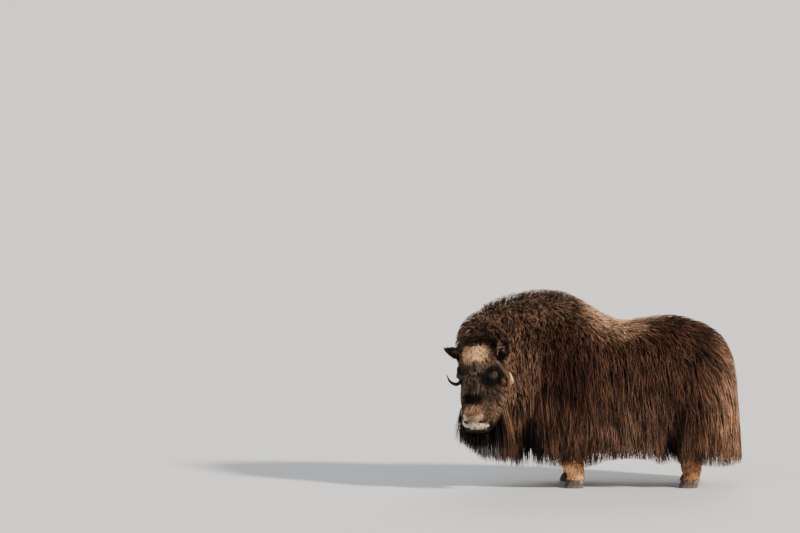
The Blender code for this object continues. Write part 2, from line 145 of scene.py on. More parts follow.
bpy.ops.mesh.primitive_plane_add(size=FLOOR_SIZE, location=(0, 0, 0))
floor = bpy.context.object
floor.name = "floor"
floor_finish, tree, shader = new_material("pale_floor")
floor_grain = put(tree, "ShaderNodeTexNoise", {
    "Vector": put(tree, "ShaderNodeTexCoord").outputs["Object"], "Scale": 1.5, "Detail": 4.0})
floor_colour = mix_colour(tree, floor_grain.outputs["Fac"], (0.70, 0.71, 0.73, 1), (0.76, 0.77, 0.79, 1))
tree.links.new(floor_colour, shader.inputs["Base Color"])
shader.inputs["Roughness"].default_value = 0.85
floor.data.materials.append(floor_finish)

world = bpy.data.worlds.new("pale_surround")
world.use_nodes = True
world.node_tree.nodes["Background"].inputs[0].default_value = (0.80, 0.86, 0.95, 1)
world.node_tree.nodes["Background"].inputs[1].default_value = 0.42
bpy.context.scene.world = world

for lamp_name, source, strength, softness, colour in (
    ("sun", SUN_FROM, 6.6, math.radians(6), (1.0, 0.90, 0.76)),
    ("fill", FILL_FROM, 0.6, math.radians(60), (0.92, 0.95, 1.0)),
    ("back", BACK_FROM, 1.5, math.radians(40), (1.0, 0.95, 0.88)),
):
    turn = source.to_track_quat("Z", "Y").to_euler()
    bpy.ops.object.light_add(type="SUN", location=source * LAMP_DISTANCE, rotation=turn)
    lamp = bpy.context.object
    lamp.name = lamp_name
    lamp.data.energy = strength
    lamp.data.angle = softness
    lamp.data.color = colour

# %% [markdown]
# The head is turned to the animal's left and hangs almost straight down, so it has a frame of its own:
# a runs to its left, b from the poll down to the nose, and c out of the brow. The CAD eyes anchor it.
# Working in this frame lets both sides of the face be made alike, and keeps every number short.
# Its axes, in this order, are left-handed, which matters only where they are used to turn something.

# %% Head frame
FACE_TURN = math.radians(26)
FACE_DIP = math.radians(73.5)
HEAD_TILT = math.radians(4.5)
EYE_DOWN = 0.150
EYE_OUT = 0.037
EYE_RADIUS = 0.019

facing = Vector((-math.sin(FACE_TURN), -math.cos(FACE_TURN), 0))
up = Vector((0, 0, 1))
tilt = Matrix.Rotation(HEAD_TILT, 3, facing)
LEFT = tilt @ up.cross(facing)
NOSE = tilt @ (math.cos(FACE_DIP) * facing - math.sin(FACE_DIP) * up)
BROW = tilt @ (math.sin(FACE_DIP) * facing + math.cos(FACE_DIP) * up)


def middle_of(node):
    """The middle of a CAD node's box."""
    low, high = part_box(node)
    return (low + high) / 2


EYES = {1: middle_of("eye_left"), -1: middle_of("eye_right")}
POLL = (EYES[1] + EYES[-1]) / 2 - EYE_DOWN * NOSE - EYE_OUT * BROW
HEAD_AXES = np.array([LEFT, NOSE, BROW])


def on_head(a, b, c):
    """A point given in the head's frame."""
    return POLL + a * LEFT + b * NOSE + c * BROW


def in_head(points):
    """Points of the body's frame in the head's frame, as rows of a, b, c."""
    return (points - np.array(POLL)) @ HEAD_AXES.T


def ramp(value, low, high):
    """A smooth step from 0 at low to 1 at high."""
    t = np.clip((np.asarray(value) - low) / (high - low), 0, 1)
    return t * t * (3 - 2 * t)


print("poll at", [round(v, 3) for v in POLL], "eyes", [round(v, 3) for v in EYES[1]])

# %% [markdown]
# The pieces below are made with Blender's own operators, which act on whatever is selected. A few helpers
# select, copy and apply, and others read and write all points of a mesh at once as an array.
# Going through the points one by one would work as well, but takes minutes on a mesh of this size.

# %% Mesh helpers
def select_only(*objects):
    """Makes these the selected objects, and the last one the active object."""
    bpy.ops.object.select_all(action="DESELECT")
    for obj in objects:
        obj.select_set(True)
    bpy.context.view_layer.objects.active = objects[-1]


def apply_modifier(obj, kind, **settings):
    """Adds a modifier, sets it and applies it."""
    select_only(obj)
    step = obj.modifiers.new(kind.lower(), kind)
    for key, value in settings.items():
        setattr(step, key, value)
    bpy.ops.object.modifier_apply(modifier=step.name)


def copy_of_node(node):
    """A free copy of a CAD node, with its loose triangles merged."""
    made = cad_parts[node].copy()
    made.data = made.data.copy()
    made.data.materials.clear()
    made.name = "copy_of_" + node
    for key in list(made.keys()):
        del made[key]
    made.parent = None
    bpy.context.scene.collection.objects.link(made)
    select_only(made)
    bpy.ops.object.mode_set(mode="EDIT")
    bpy.ops.mesh.select_all(action="SELECT")
    bpy.ops.mesh.remove_doubles(threshold=1e-6)
    bpy.ops.object.mode_set(mode="OBJECT")
    return made


def points_of(mesh):
    """All vertex places of a mesh, as an array."""
    flat = np.empty(len(mesh.vertices) * 3)
    mesh.vertices.foreach_get("co", flat)
    return flat.reshape(-1, 3)


def normals_of(mesh):
    """All vertex normals of a mesh, as an array."""
    flat = np.empty(len(mesh.vertices) * 3)
    mesh.vertex_normals.foreach_get("vector", flat)
    return flat.reshape(-1, 3)


def set_points(mesh, points):
    """Moves the vertices of a mesh."""
    mesh.vertices.foreach_set("co", points.astype(np.float32).ravel())
    mesh.update()


def triangles_in(obj):
    """How many triangles an object's faces come to."""
    return sum(len(face.vertices) - 2 for face in obj.data.polygons)


print("head solid has", triangles_in(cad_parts["head"]), "triangles")

# %% [markdown]
# The skin starts from copies of the solids of trunk, tail, neck and head. Their walls lie a third of
# a millimetre apart, so a voxel remesh melts them into one closed form. That form is also kept, as the
# outline of the coat. A Boolean union could join them too, but the remesh gives even faces that are
# easy to push about.

# %% Melt the solids into one form
CELL = 0.012
CORE = ("trunk", "tail", "neck", "head")

copies = [copy_of_node(node) for node in CORE]
select_only(*copies)
bpy.ops.object.join()
skin = bpy.context.object
skin.name = "skin"
apply_modifier(skin, "REMESH", mode="VOXEL", voxel_size=CELL)
apply_modifier(skin, "SMOOTH", factor=0.5, iterations=2)
outline_points = points_of(skin.data)
outline = BVHTree.FromPolygons(outline_points.tolist(), [face.vertices[:] for face in skin.data.polygons])
print("outline of the coat:", len(outline_points), "points")

# %% [markdown]
# Most of the hanging mass is hair. The body itself ends at the belly, so the form is cut off level with
# a plane, and then pushed inwards by the depth of the coat: some millimetres on the face, some centimetres
# on the body. Each round goes part of the way and smooths, so that no fold is pressed into the form.

# %% Cut the hanging hair away and sink the skin
BELLY_HEIGHT = 0.335
BODY_DEPTH = 0.055
FACE_DEPTH = 0.009
MUZZLE_DEPTH = 0.005
SINK_ROUNDS = 4
SINK_SHARE = 0.7
FINER = 0.9


def face_share(points):
    """1 on the short-haired face, 0 on mane, beard and body."""
    a, b, c = in_head(points).T
    share = ramp(b, -0.035, 0.010) * (1 - ramp(b, 0.50, 0.54)) * ramp(c, -0.155, -0.105)
    return share * (1 - ramp(np.abs(a), 0.145, 0.185)) * (1 - ramp(c, 0.12, 0.2))


def coat_depth(points):
    """How deep the skin lies under the tips of the coat."""
    face = face_share(points)
    muzzle = face * ramp(in_head(points)[:, 1], 0.33, 0.40)
    short = FACE_DEPTH + (MUZZLE_DEPTH - FACE_DEPTH) * muzzle
    return short * face + BODY_DEPTH * (1 - face)


select_only(skin)
bpy.ops.object.mode_set(mode="EDIT")
bpy.ops.mesh.select_all(action="SELECT")
bpy.ops.mesh.bisect(plane_co=(0, 0, BELLY_HEIGHT), plane_no=(0, 0, 1), use_fill=True, clear_inner=True)
bpy.ops.object.mode_set(mode="OBJECT")
apply_modifier(skin, "REMESH", mode="VOXEL", voxel_size=CELL)


def nearest_outline(points):
    """For each point, the outward normal of the nearest place on the outline, and the depth under it."""
    normals, depths = np.empty((len(points), 3)), np.empty(len(points))
    for i, point in enumerate(points.tolist()):
        place, normal, _, distance = outline.find_nearest(point)
        inside = (place[0] - point[0]) * normal[0] + (place[1] - point[1]) * normal[1]
        inside += (place[2] - point[2]) * normal[2]
        normals[i] = normal
        depths[i] = math.copysign(distance, inside)
    return normals, depths


for sink_round in range(SINK_ROUNDS):
    points = points_of(skin.data)
    normal, depth = nearest_outline(points)
    missing = np.maximum(coat_depth(points) - depth, 0) * SINK_SHARE
    set_points(skin.data, points - normal * missing[:, None])
    apply_modifier(skin, "SMOOTH", factor=0.5, iterations=1)
apply_modifier(skin, "REMESH", mode="VOXEL", voxel_size=CELL * FINER)
lowest = float(points_of(skin.data)[:, 2].min())
print("body skin:", len(skin.data.vertices), "points, lowest", round(lowest, 3))

# %% [markdown]
# Each leg is a cylinder with many rings. Every ring is moved and scaled to the leg's shape: pastern, fetlock,
# cannon, knee or hock, and the thick upper leg that runs into the body. The four are joined to the skin,
# and one more remesh welds them on.

# %% Legs
LEG_RINGS = [
    # height, half length along the body, half width, shift to the rear
    (0.040, 0.050, 0.045, 0.000), (0.058, 0.048, 0.043, 0.002), (0.080, 0.048, 0.042, 0.002),
    (0.105, 0.056, 0.049, -0.002), (0.130, 0.060, 0.052, -0.008), (0.200, 0.064, 0.055, -0.012),
    (0.260, 0.064, 0.055, -0.008), (0.320, 0.066, 0.058, 0.000), (0.400, 0.080, 0.068, 0.000),
    (0.450, 0.085, 0.060, 0.000),
]
LEG_LEAN = 0.12
LEG_INWARDS = 0.09
LEG_SIDES = 28
LEG_CUTS = 9
ANKLE = 0.05
KNEE = 0.15
BEHIND_HOOF = 0.012
WELD_CELL = 0.0115
legs = {}
for name in ("front_left", "front_right", "hind_left", "hind_right"):
    outer, inner = middle_of(f"hoof_{name}_outer"), middle_of(f"hoof_{name}_inner")
    foot = (outer + inner) / 2
    legs[name] = foot
    bpy.ops.object.select_all(action="DESELECT")
    bpy.ops.mesh.primitive_cylinder_add(
        vertices=LEG_SIDES, radius=1, depth=1, end_fill_type="TRIFAN", location=(0, 0, 0)
    )
    leg = bpy.context.object
    bpy.ops.object.mode_set(mode="EDIT")
    bpy.ops.mesh.select_all(action="SELECT")
    bpy.ops.mesh.bisect(plane_co=(0, 0, 0), plane_no=(0, 0, 1))
    bpy.ops.mesh.select_all(action="SELECT")
    bpy.ops.mesh.subdivide(number_cuts=LEG_CUTS)
    bpy.ops.object.mode_set(mode="OBJECT")
    place = points_of(leg.data)
    heights, half_x, half_y, back = np.array(LEG_RINGS).T
    z = heights[0] + (heights[-1] - heights[0]) * (place[:, 2] + 0.5)
    lean = (LEG_LEAN if name.startswith("hind") else -LEG_LEAN) * np.maximum(z - ANKLE, 0)
    round_out = 1 / np.maximum(1, np.hypot(place[:, 0], place[:, 1]))
    place[:, 0] = foot.x + BEHIND_HOOF + place[:, 0] * round_out * np.interp(z, heights, half_x) + lean
    place[:, 0] += np.interp(z, heights, back)
    inwards = math.copysign(LEG_INWARDS, middle_of("trunk").y - foot.y) * np.maximum(z - KNEE, 0)
    place[:, 1] = foot.y + inwards + place[:, 1] * round_out * np.interp(z, heights, half_y)
    place[:, 2] = z
    set_points(leg.data, place)
    select_only(leg, skin)
    bpy.ops.object.join()
apply_modifier(skin, "REMESH", mode="VOXEL", voxel_size=WELD_CELL)
apply_modifier(skin, "SMOOTH", factor=0.5, iterations=4)
print("skin with legs:", len(skin.data.vertices), "points")

# %% [markdown]
# The ears are thin cups, so they are melted with a finer cell from their own solids, given a short stem that
# reaches through the mane, and joined to the skin by a Boolean union, which leaves one closed surface.

# %% Ears
EAR_CELL = 0.0024
EAR_SINK = 0.0008
STEM_RADIUS = 0.016
STEM_HALF = 0.045
STEM_SHIFT = 0.034
ROOT_POINTS = 12
for side, name in ((1, "ear_left"), (-1, "ear_right")):
    ear = copy_of_node(name)
    points = points_of(ear.data)
    near_root = points[np.argsort(in_head(points)[:, 0] * side)[:ROOT_POINTS]].mean(axis=0)
    inward = (Vector(on_head(0, 0.06, -0.03)) - Vector(near_root)).normalized()
    bpy.ops.object.select_all(action="DESELECT")
    bpy.ops.mesh.primitive_uv_sphere_add(segments=20, ring_count=14, radius=1, location=(0, 0, 0))
    stem = bpy.context.object
    stem.scale = (STEM_RADIUS, STEM_RADIUS, STEM_HALF)
    stem.rotation_euler = inward.to_track_quat("Z", "Y").to_euler()
    stem.location = Vector(near_root) + inward * STEM_SHIFT
    bpy.ops.object.transform_apply(location=True, rotation=True, scale=True)
    select_only(stem, ear)
    bpy.ops.object.join()
    apply_modifier(ear, "REMESH", mode="VOXEL", voxel_size=EAR_CELL)
    set_points(ear.data, points_of(ear.data) - normals_of(ear.data) * EAR_SINK)
    apply_modifier(ear, "SMOOTH", factor=0.5, iterations=2)
    apply_modifier(skin, "BOOLEAN", operation="UNION", object=ear, solver="EXACT")
    bpy.data.objects.remove(ear)
print("skin with ears:", len(skin.data.vertices), "points")

# %% [markdown]
# The face needs folds that a coarse skin can't hold. Its faces are subdivided three ways, and those round
# the eyes and the muzzle once more. A multiresolution modifier would refine the whole animal, at a price
# in triangles that only the face needs.

# %% Refine the face
FACE_CUTS = 2
FACE_AREA = 4.0e-5
DETAIL_AREA = 6.0e-6
EYE_REACH = 0.042
MUZZLE_FROM = 0.345


def subdivide_where(obj, chosen, cuts, least_area):
    """Subdivides the faces whose middles a test picks, unless they are small already."""
    middles = np.array([face.center[:] for face in obj.data.polygons])
    areas = np.array([face.area for face in obj.data.polygons])
    picked = chosen(middles) & (areas > least_area)
    select_only(obj)
    bpy.ops.object.mode_set(mode="EDIT")
    bpy.ops.mesh.select_mode(type="FACE")
    bpy.ops.mesh.select_all(action="DESELECT")
    bpy.ops.object.mode_set(mode="OBJECT")
    obj.data.polygons.foreach_set("select", picked)
    bpy.ops.object.mode_set(mode="EDIT")
    bpy.ops.mesh.subdivide(number_cuts=cuts)
    bpy.ops.object.mode_set(mode="OBJECT")


def near_detail(points):
    """Picks what lies round the eyes and at the muzzle's end."""
    chosen = (in_head(points)[:, 1] > MUZZLE_FROM) & (face_share(points) > 0.02)
    for eye in EYES.values():
        chosen |= np.linalg.norm(points - np.array(eye), axis=1) < EYE_REACH
    return chosen


def smooth_where(obj, weights, rounds):
    """Smooths the points by their weights."""
    group = obj.vertex_groups.new(name="soft")
    for i in np.nonzero(weights > 0.01)[0].tolist():
        group.add([i], float(weights[i]), "REPLACE")
    apply_modifier(obj, "SMOOTH", factor=0.5, iterations=rounds, vertex_group="soft")
    obj.vertex_groups.clear()


subdivide_where(skin, lambda points: face_share(points) > 0.02, FACE_CUTS, FACE_AREA)
smooth_where(skin, np.clip(face_share(points_of(skin.data)) * 3, 0, 1), 4)
subdivide_where(skin, near_detail, 1, DETAIL_AREA)
smooth_where(skin, near_detail(points_of(skin.data)).astype(float), 2)
print("refined skin:", len(skin.data.vertices), "points")

# %% [markdown]
# Now the points are moved by short formulas in the head's frame, as a sculptor would move them by hand.
# Sculpting by hand would hold more, but formulas are repeatable and work the same on both sides.
# Round each eye the skin rises as a low mound and splits into an upper and a lower lid over the eyeball.
# The nostrils are comma-shaped pits, the mouth is a groove that runs up and back to its corners,
# and a few shallow folds cross the bridge of the nose where the skin bunches as the animal feeds.

# %% Sculpt the face
LID_RADIUS = 0.0228
OPENING_LONG = 0.0150
OPENING_HIGH = 0.0092
MOUND_END = 0.046
NOSTRIL = (0.044, 0.411, 0.030)
NOSTRIL_DEPTH = 0.013
MOUTH_DEPTH = 0.009


def eye_axes(side):
    """Unit vectors of an eye: where it looks, along its lids, and across them, in the head's frame."""
    out = np.array([side * 0.74, -0.02, 0.67])
    out /= np.linalg.norm(out)
    along = np.array([-side * 0.45, 1.0, 0.0])
    along -= along @ out * out
    along /= np.linalg.norm(along)
    return out, along, np.cross(out, along)


def eye_turn(side):
    """An eye's axes in the body's frame, as rows: along its lids, across them, and out of the eye."""
    out, along = (Vector(axis) @ Matrix(HEAD_AXES.tolist()) for axis in eye_axes(side)[:2])
    return Matrix([along, out.cross(along), out])


def shape_lids(h, side):
    """Raises the mound round one eye and opens the lids."""
    out, along, across = eye_axes(side)
    d = h - in_head(np.array([EYES[side]]))[0]
    w, u, v = d @ out, d @ along, d @ across
    reach = np.hypot(u, v)
    near = (reach < MOUND_END) & (w > -0.04)
    cap = np.sqrt(LID_RADIUS**2 - np.minimum(reach, 0.8 * LID_RADIUS) ** 2)
    cap -= np.maximum(reach - 0.8 * LID_RADIUS, 0) * 1.1
    almond = np.sqrt((u / OPENING_LONG) ** 2 + (v / OPENING_HIGH) ** 2)
    cap += 0.0018 * np.exp(-(((almond - 1.25) / 0.16) ** 2))
    inner = np.sqrt(np.maximum(0.0150**2 - (0.9 * reach) ** 2, 0))
    height = inner + (cap - inner) * ramp(almond, 0.90, 1.06)
    share = (1 - ramp(reach, 0.016, MOUND_END)) * near
    return out * ((height - w) * share)[:, None]


def shape_muzzle(h, normal):
    """Pits for the nostrils, the groove of the mouth, the lips and the folds on the nose."""
    a, b, c = h.T
    push = np.zeros(len(h))
    for side in (1, -1):
        d = h - np.array([side * NOSTRIL[0], NOSTRIL[1], NOSTRIL[2]])
        along = d @ np.array([side * 0.88, -0.25, -0.40])
        across = d @ np.array([side * 0.25, 0.92, -0.15])
        pit = np.sqrt((along / 0.0190) ** 2 + ((across + 12 * along**2) / 0.0066) ** 2)
        push -= NOSTRIL_DEPTH * (1 - ramp(pit, 0.35, 1.1))
        push += 0.0035 * np.exp(-(((pit - 1.45) / 0.35) ** 2))
    line = -0.050 - 0.25 * (0.45 - b)
    groove = np.exp(-(((c - line) / 0.0050) ** 2)) * ramp(b, 0.345, 0.375)
    push -= MOUTH_DEPTH * groove
    push += 0.004 * np.exp(-(((c - line - 0.014) / 0.010) ** 2)) * ramp(b, 0.38, 0.42)
    push -= 0.003 * np.exp(-((a / 0.004) ** 2)) * ramp(b, 0.42, 0.45) * ramp(c, -0.04, -0.02)
    folds = np.sin((b - 0.30) / 0.014 * 2 * math.pi) * ramp(b, 0.32, 0.35) * (1 - ramp(b, 0.385, 0.405))
    push += 0.0011 * folds * ramp(c, -0.02, 0.02)
    return normal @ HEAD_AXES.T * push[:, None]


points = points_of(skin.data)
h = in_head(points)
face = np.clip(face_share(points) * 4, 0, 1)[:, None]
h = h + shape_muzzle(h, normals_of(skin.data)) * face
for side in (1, -1):
    h = h + shape_lids(h, side)
set_points(skin.data, h @ HEAD_AXES + np.array(POLL))
smooth_where(skin, near_detail(points_of(skin.data)) * 0.7, 1)
select_only(skin)
bpy.ops.object.shade_smooth()
print("face sculpted, skin has", triangles_in(skin), "triangles")

# %% [markdown]
# The markings of a muskox sit at places on its body, so they are written as soft ellipsoids.
# Each has a middle, three reaches and a colour, and the later ones are painted over the earlier ones.
# Those of the body are given in the body's frame: pale saddle, reddish shoulder, and near-black painted shade
# in the folds, at the throat and under the belly.

# %% Markings of the body
BODY_COLOUR = (0.060, 0.0265, 0.0150)
BODY_MARKS = [
    # name, middle, reaches, share of the reach that is soft, colour, strength
    ("crest", (-0.36, 0.03, 1.02), (0.50, 0.30, 0.16), 0.8, (0.150, 0.086, 0.052), 0.8),
    ("mane", (-0.50, -0.16, 0.68), (0.23, 0.26, 0.38), 0.45, (0.140, 0.078, 0.049), 0.9),
    ("nape", (-0.66, -0.02, 0.95), (0.20, 0.26, 0.17), 0.6, (0.185, 0.110, 0.070), 0.85),
    ("shoulder", (-0.13, -0.25, 0.72), (0.17, 0.30, 0.30), 0.45, (0.032, 0.0095, 0.0055), 0.85),
    ("saddle", (0.12, 0.067, 0.98), (0.30, 0.36, 0.19), 0.65, (0.60, 0.38, 0.23), 1.0),
    ("loin", (0.40, 0.067, 1.02), (0.30, 0.30, 0.10), 0.9, (0.15, 0.075, 0.042), 0.6),
    ("rump", (0.80, 0.067, 0.50), (0.26, 0.50, 0.62), 0.7, (0.285, 0.158, 0.095), 0.9),
    ("flank", (0.22, 0.067, 0.36), (0.50, 0.60, 0.32), 0.8, (0.122, 0.070, 0.047), 0.75),
    # Near black in the folds before the thighs: painted shade.
    ("thigh_fold", (0.475, -0.28, 0.38), (0.060, 0.20, 0.17), 0.6, (0.004, 0.002, 0.002), 0.97),
    ("thigh_fold_low", (0.438, -0.25, 0.22), (0.070, 0.20, 0.18), 0.5, (0.004, 0.002, 0.002), 0.97),
    ("thigh_fold_right", (0.46, 0.40, 0.30), (0.060, 0.20, 0.22), 0.6, (0.004, 0.002, 0.002), 0.9),
    # Near black in the throat hollow: painted shade.
    ("throat", (-0.358, -0.20, 0.20), (0.092, 0.34, 0.25), 0.35, (0.004, 0.003, 0.003), 0.98),
    ("chin", (-0.70, -0.28, 0.23), (0.20, 0.24, 0.135), 0.3, (0.082, 0.077, 0.077), 0.97),
    ("brown_lock", (-0.470, -0.25, 0.27), (0.042, 0.24, 0.20), 0.5, (0.095, 0.046, 0.025), 0.9),
    # Near black under the belly: painted shade.
    ("underside", (0.20, 0.067, 0.26), (0.72, 0.15, 0.18), 0.5, (0.010, 0.007, 0.006), 0.9),
]
for name, foot in legs.items():
    paint = (0.82, 0.43, 0.195) if name.startswith("front") else (0.37, 0.172, 0.074)
    BODY_MARKS.append((name, (foot.x, foot.y, 0.09), (0.17, 0.14, 0.20), 0.3, paint, 1.0))
print(len(BODY_MARKS), "marks on the body")

# %% [markdown]
# The head carries the clearest marks: cream forehead, black eye patches and nose band, tan nose and
# pale lips. Near-black painted shade lies under the lip, on the chin and in the pocket round the near ear.
# Their middles are given in the head's frame.

# %% Markings of the head
def both_sides(name, middle, *rest):
    """A mark on the left side of the head and its mirror image on the right."""
    a, b, c = middle
    return [(name, middle, *rest), (name + "_right", (-a, b, c), *rest)]


HEAD_MARKS = [
    # name, middle, reaches, share of the reach that is soft, colour, strength
    ("forehead_dark", (0.0, -0.035, 0.02), (0.19, 0.075, 0.15), 0.5, (0.026, 0.012, 0.007), 0.9),
    ("face", (0.0, 0.24, 0.0), (0.17, 0.26, 0.20), 0.4, (0.112, 0.075, 0.050), 0.9),
    *both_sides("cheek", (0.100, 0.34, -0.05), (0.06, 0.10, 0.10), 0.7, (0.20, 0.125, 0.075), 0.85),
    ("under_eye", (0.090, 0.245, 0.0), (0.085, 0.060, 0.14), 0.6, (0.030, 0.018, 0.012), 0.85),
    ("eye_dark", (0.098, 0.150, 0.03), (0.094, 0.074, 0.12), 0.35, (0.005, 0.003, 0.0025), 0.98),
    ("eye_dark_right", (-0.126, 0.150, 0.03), (0.060, 0.090, 0.12), 0.35, (0.005, 0.003, 0.0025), 0.98),
    ("cream_left", (0.040, 0.034, 0.09), (0.054, 0.056, 0.10), 0.65, (0.72, 0.46, 0.25), 1.0),
    ("cream_right", (-0.036, 0.037, 0.09), (0.060, 0.058, 0.10), 0.65, (0.70, 0.45, 0.25), 1.0),
    ("cream_middle", (0.002, 0.024, 0.09), (0.050, 0.040, 0.10), 0.5, (0.76, 0.49, 0.27), 1.0),
    ("nose_band", (-0.01, 0.290, 0.06), (0.092, 0.050, 0.09), 0.55, (0.003, 0.002, 0.0015), 0.99),
    ("nose_tan", (-0.004, 0.366, 0.05), (0.086, 0.054, 0.08), 0.5, (0.42, 0.232, 0.130), 0.97),
    # Near black under the lip: painted shade.
    ("under_lip", (0.0, 0.515, 0.0), (0.16, 0.048, 0.14), 0.25, (0.006, 0.005, 0.004), 0.98),
    *both_sides("jaw_dark", (0.106, 0.440, -0.045), (0.058, 0.058, 0.11), 0.45, (0.008, 0.006, 0.005), 0.96),
    ("muzzle_base", (-0.006, 0.415, 0.045), (0.084, 0.036, 0.08), 0.6, (0.52, 0.33, 0.20), 0.9),
    ("lip_far", (-0.048, 0.436, 0.045), (0.046, 0.028, 0.10), 0.5, (0.95, 0.80, 0.58), 1.0),
    ("lip_near", (0.018, 0.450, 0.045), (0.074, 0.034, 0.10), 0.5, (0.97, 0.82, 0.60), 1.0),
    ("nostril_rim", (-0.056, 0.392, 0.045), (0.026, 0.018, 0.05), 0.5, (0.80, 0.64, 0.46), 0.9),
    ("nose_blotch", (0.034, 0.390, 0.050), (0.030, 0.014, 0.05), 0.6, (0.74, 0.58, 0.40), 0.85),
    # Near black on the chin below the lip: painted shade.
    ("chin_dark", (0.0, 0.46, -0.112), (0.15, 0.120, 0.076), 0.3, (0.006, 0.005, 0.004), 0.97),
    *both_sides("mouth_corner", (0.116, 0.394, -0.03), (0.02, 0.032, 0.09), 0.6, (0.006, 0.004, 0.003), 0.97),
    ("nostril", (0.044, 0.409, 0.030), (0.030, 0.0090, 0.034), 0.4, (0.008, 0.005, 0.005), 1.0),
    ("nostril_right", (-0.044, 0.414, 0.030), (0.032, 0.0090, 0.034), 0.4, (0.008, 0.005, 0.005), 1.0),
    # Near black in the pocket round the near ear: painted shade.
    ("ear_pocket", (0.150, 0.028, 0.042), (0.066, 0.096, 0.080), 0.4, (0.006, 0.0035, 0.0028), 0.98),
    ("ear_tufts", (0.148, 0.016, 0.056), (0.033, 0.052, 0.046), 0.6, (0.72, 0.45, 0.32), 0.9),
    ("ear_right_back", (-0.165, 0.00, 0.02), (0.085, 0.07, 0.07), 0.4, (0.016, 0.008, 0.005), 0.95),
    ("ear_right_inside", (-0.150, 0.008, 0.020), (0.035, 0.016, 0.04), 0.6, (0.20, 0.10, 0.05), 0.8),
]
print(len(HEAD_MARKS), "marks on the head")

# %% [markdown]
# One node group paints all the marks in turn, and both the skin and the coat use it: the skin with its own
# coordinates, and each lock of hair with the place of its root. A noise shifts the place first, so the marks
# have ragged edges. Vertex colours could do the same, but the group stays sharp and can be changed without
# rebuilding the mesh.

# %% Group that paints the markings
RAGGED = 0.022
RAGGED_ON_HEAD = 1.6
RAGGED_ON_BODY = 3.0
# Euler angles can't hold a left-handed set of axes, so these lean the ellipsoids of the head back a little.
# The marks were placed with that lean.
head_turn = Matrix([LEFT, NOSE, BROW]).transposed().to_euler()


def build_markings():
    """The node group that paints the markings at a place."""
    group = bpy.data.node_groups.new("markings", "ShaderNodeTree")
    face = group.interface
    face.new_socket("Place", in_out="INPUT", socket_type="NodeSocketVector")
    face.new_socket("Colour", in_out="OUTPUT", socket_type="NodeSocketColor")
    place = put(group, "NodeGroupInput").outputs["Place"]
    ragged = put(group, "ShaderNodeTexNoise", {
        "Vector": place, "Scale": 38.0, "Detail": 3.0, "Roughness": 0.6}).outputs["Color"]
    halves = {0: ragged, 1: (0.5, 0.5, 0.5)}
    shift = put(group, "ShaderNodeVectorMath", halves, operation="SUBTRACT").outputs[0]
    shift = put(group, "ShaderNodeVectorMath", {0: shift, "Scale": RAGGED}, operation="SCALE").outputs[0]
    colour = (*BODY_COLOUR, 1)
    for marks, times in ((BODY_MARKS, RAGGED_ON_BODY), (HEAD_MARKS, RAGGED_ON_HEAD)):
        scaled = put(group, "ShaderNodeVectorMath", {0: shift, "Scale": times}, operation="SCALE").outputs[0]
        shifted = put(group, "ShaderNodeVectorMath", {0: place, 1: scaled}, operation="ADD").outputs[0]
        for name, middle, reach, soft, paint, strength in marks:
            spot = {"Vector": shifted, "Location": middle, "Scale": reach}
            if marks is HEAD_MARKS:
                spot.update({"Location": on_head(*middle), "Rotation": head_turn})
            mapped = put(group, "ShaderNodeMapping", spot, vector_type="TEXTURE", label=name).outputs[0]
            length = put(group, "ShaderNodeVectorMath", {0: mapped}, operation="LENGTH").outputs["Value"]
            share = smooth_range(group, length, 1 - soft, 1.0, strength, 0.0)
            colour = mix_colour(group, share, colour, (*paint, 1))
    put(group, "NodeGroupOutput", {"Colour": colour})
    return group


markings = build_markings()
print("markings group with", len(markings.nodes), "nodes")

# %% [markdown]
# The skin shows only where hair parts, and on the nose, the lips and the lids. Its finish takes the markings,
# darkened a little because it lies in shade, with fine pores and short lying hair as bump.
# The rims of the lids are bare, and the faint pink painted on them is a highlight.

# %% Skin finish
# The pink on the lid rims is a painted highlight.
LID_HIGHLIGHT_PINK = (0.105, 0.064, 0.054)
LID_RIM = (0.0175, 0.0118, 0.060)


def lid_highlight_share(tree, place):
    """1 on the rims of the lids, where a pink highlight is painted, 0 elsewhere."""
    total = None
    for side in (1, -1):
        turn = eye_turn(side).transposed().to_euler()
        spot = {"Vector": place, "Location": EYES[side], "Rotation": turn, "Scale": LID_RIM}
        mapped = put(tree, "ShaderNodeMapping", spot, vector_type="TEXTURE").outputs[0]
        length = put(tree, "ShaderNodeVectorMath", {0: mapped}, operation="LENGTH").outputs["Value"]
        share = smooth_range(tree, length, 0.95, 1.12, 0.85, 0.0)
        total = share if total is None else math_node(tree, "MAXIMUM", total, share)
    return total


skin_finish, tree, shader = new_material("skin_under_the_coat")
place = put(tree, "ShaderNodeTexCoord").outputs["Object"]
group = put(tree, "ShaderNodeGroup", node_tree=markings)
tree.links.new(place, group.inputs["Place"])
pores = put(tree, "ShaderNodeTexNoise", {"Vector": place, "Scale": 420.0, "Detail": 4.0, "Roughness": 0.65})
shade = smooth_range(tree, pores.outputs["Fac"], 0.25, 0.75, 0.45, 0.95)
skin_colour = mix_colour(tree, 1.0, group.outputs["Colour"], put(tree, "ShaderNodeCombineColor", {
    0: shade, 1: shade, 2: shade}).outputs[0], "MULTIPLY")
skin_colour = mix_colour(tree, lid_highlight_share(tree, place), skin_colour, (*LID_HIGHLIGHT_PINK, 1))
bump = put(tree, "ShaderNodeBump", {"Height": pores.outputs["Fac"], "Strength": 0.5, "Distance": 0.0012})
tree.links.new(skin_colour, shader.inputs["Base Color"])
tree.links.new(bump.outputs[0], shader.inputs["Normal"])
tree.links.new(smooth_range(tree, pores.outputs["Fac"], 0.3, 0.7, 0.50, 0.72), shader.inputs["Roughness"])
skin.data.materials.clear()
skin.data.materials.append(skin_finish)
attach(skin, "root")
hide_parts(*CORE, "ear_left", "ear_right", *("leg_" + name for name in legs))
print("skin finish has", len(tree.nodes), "nodes")
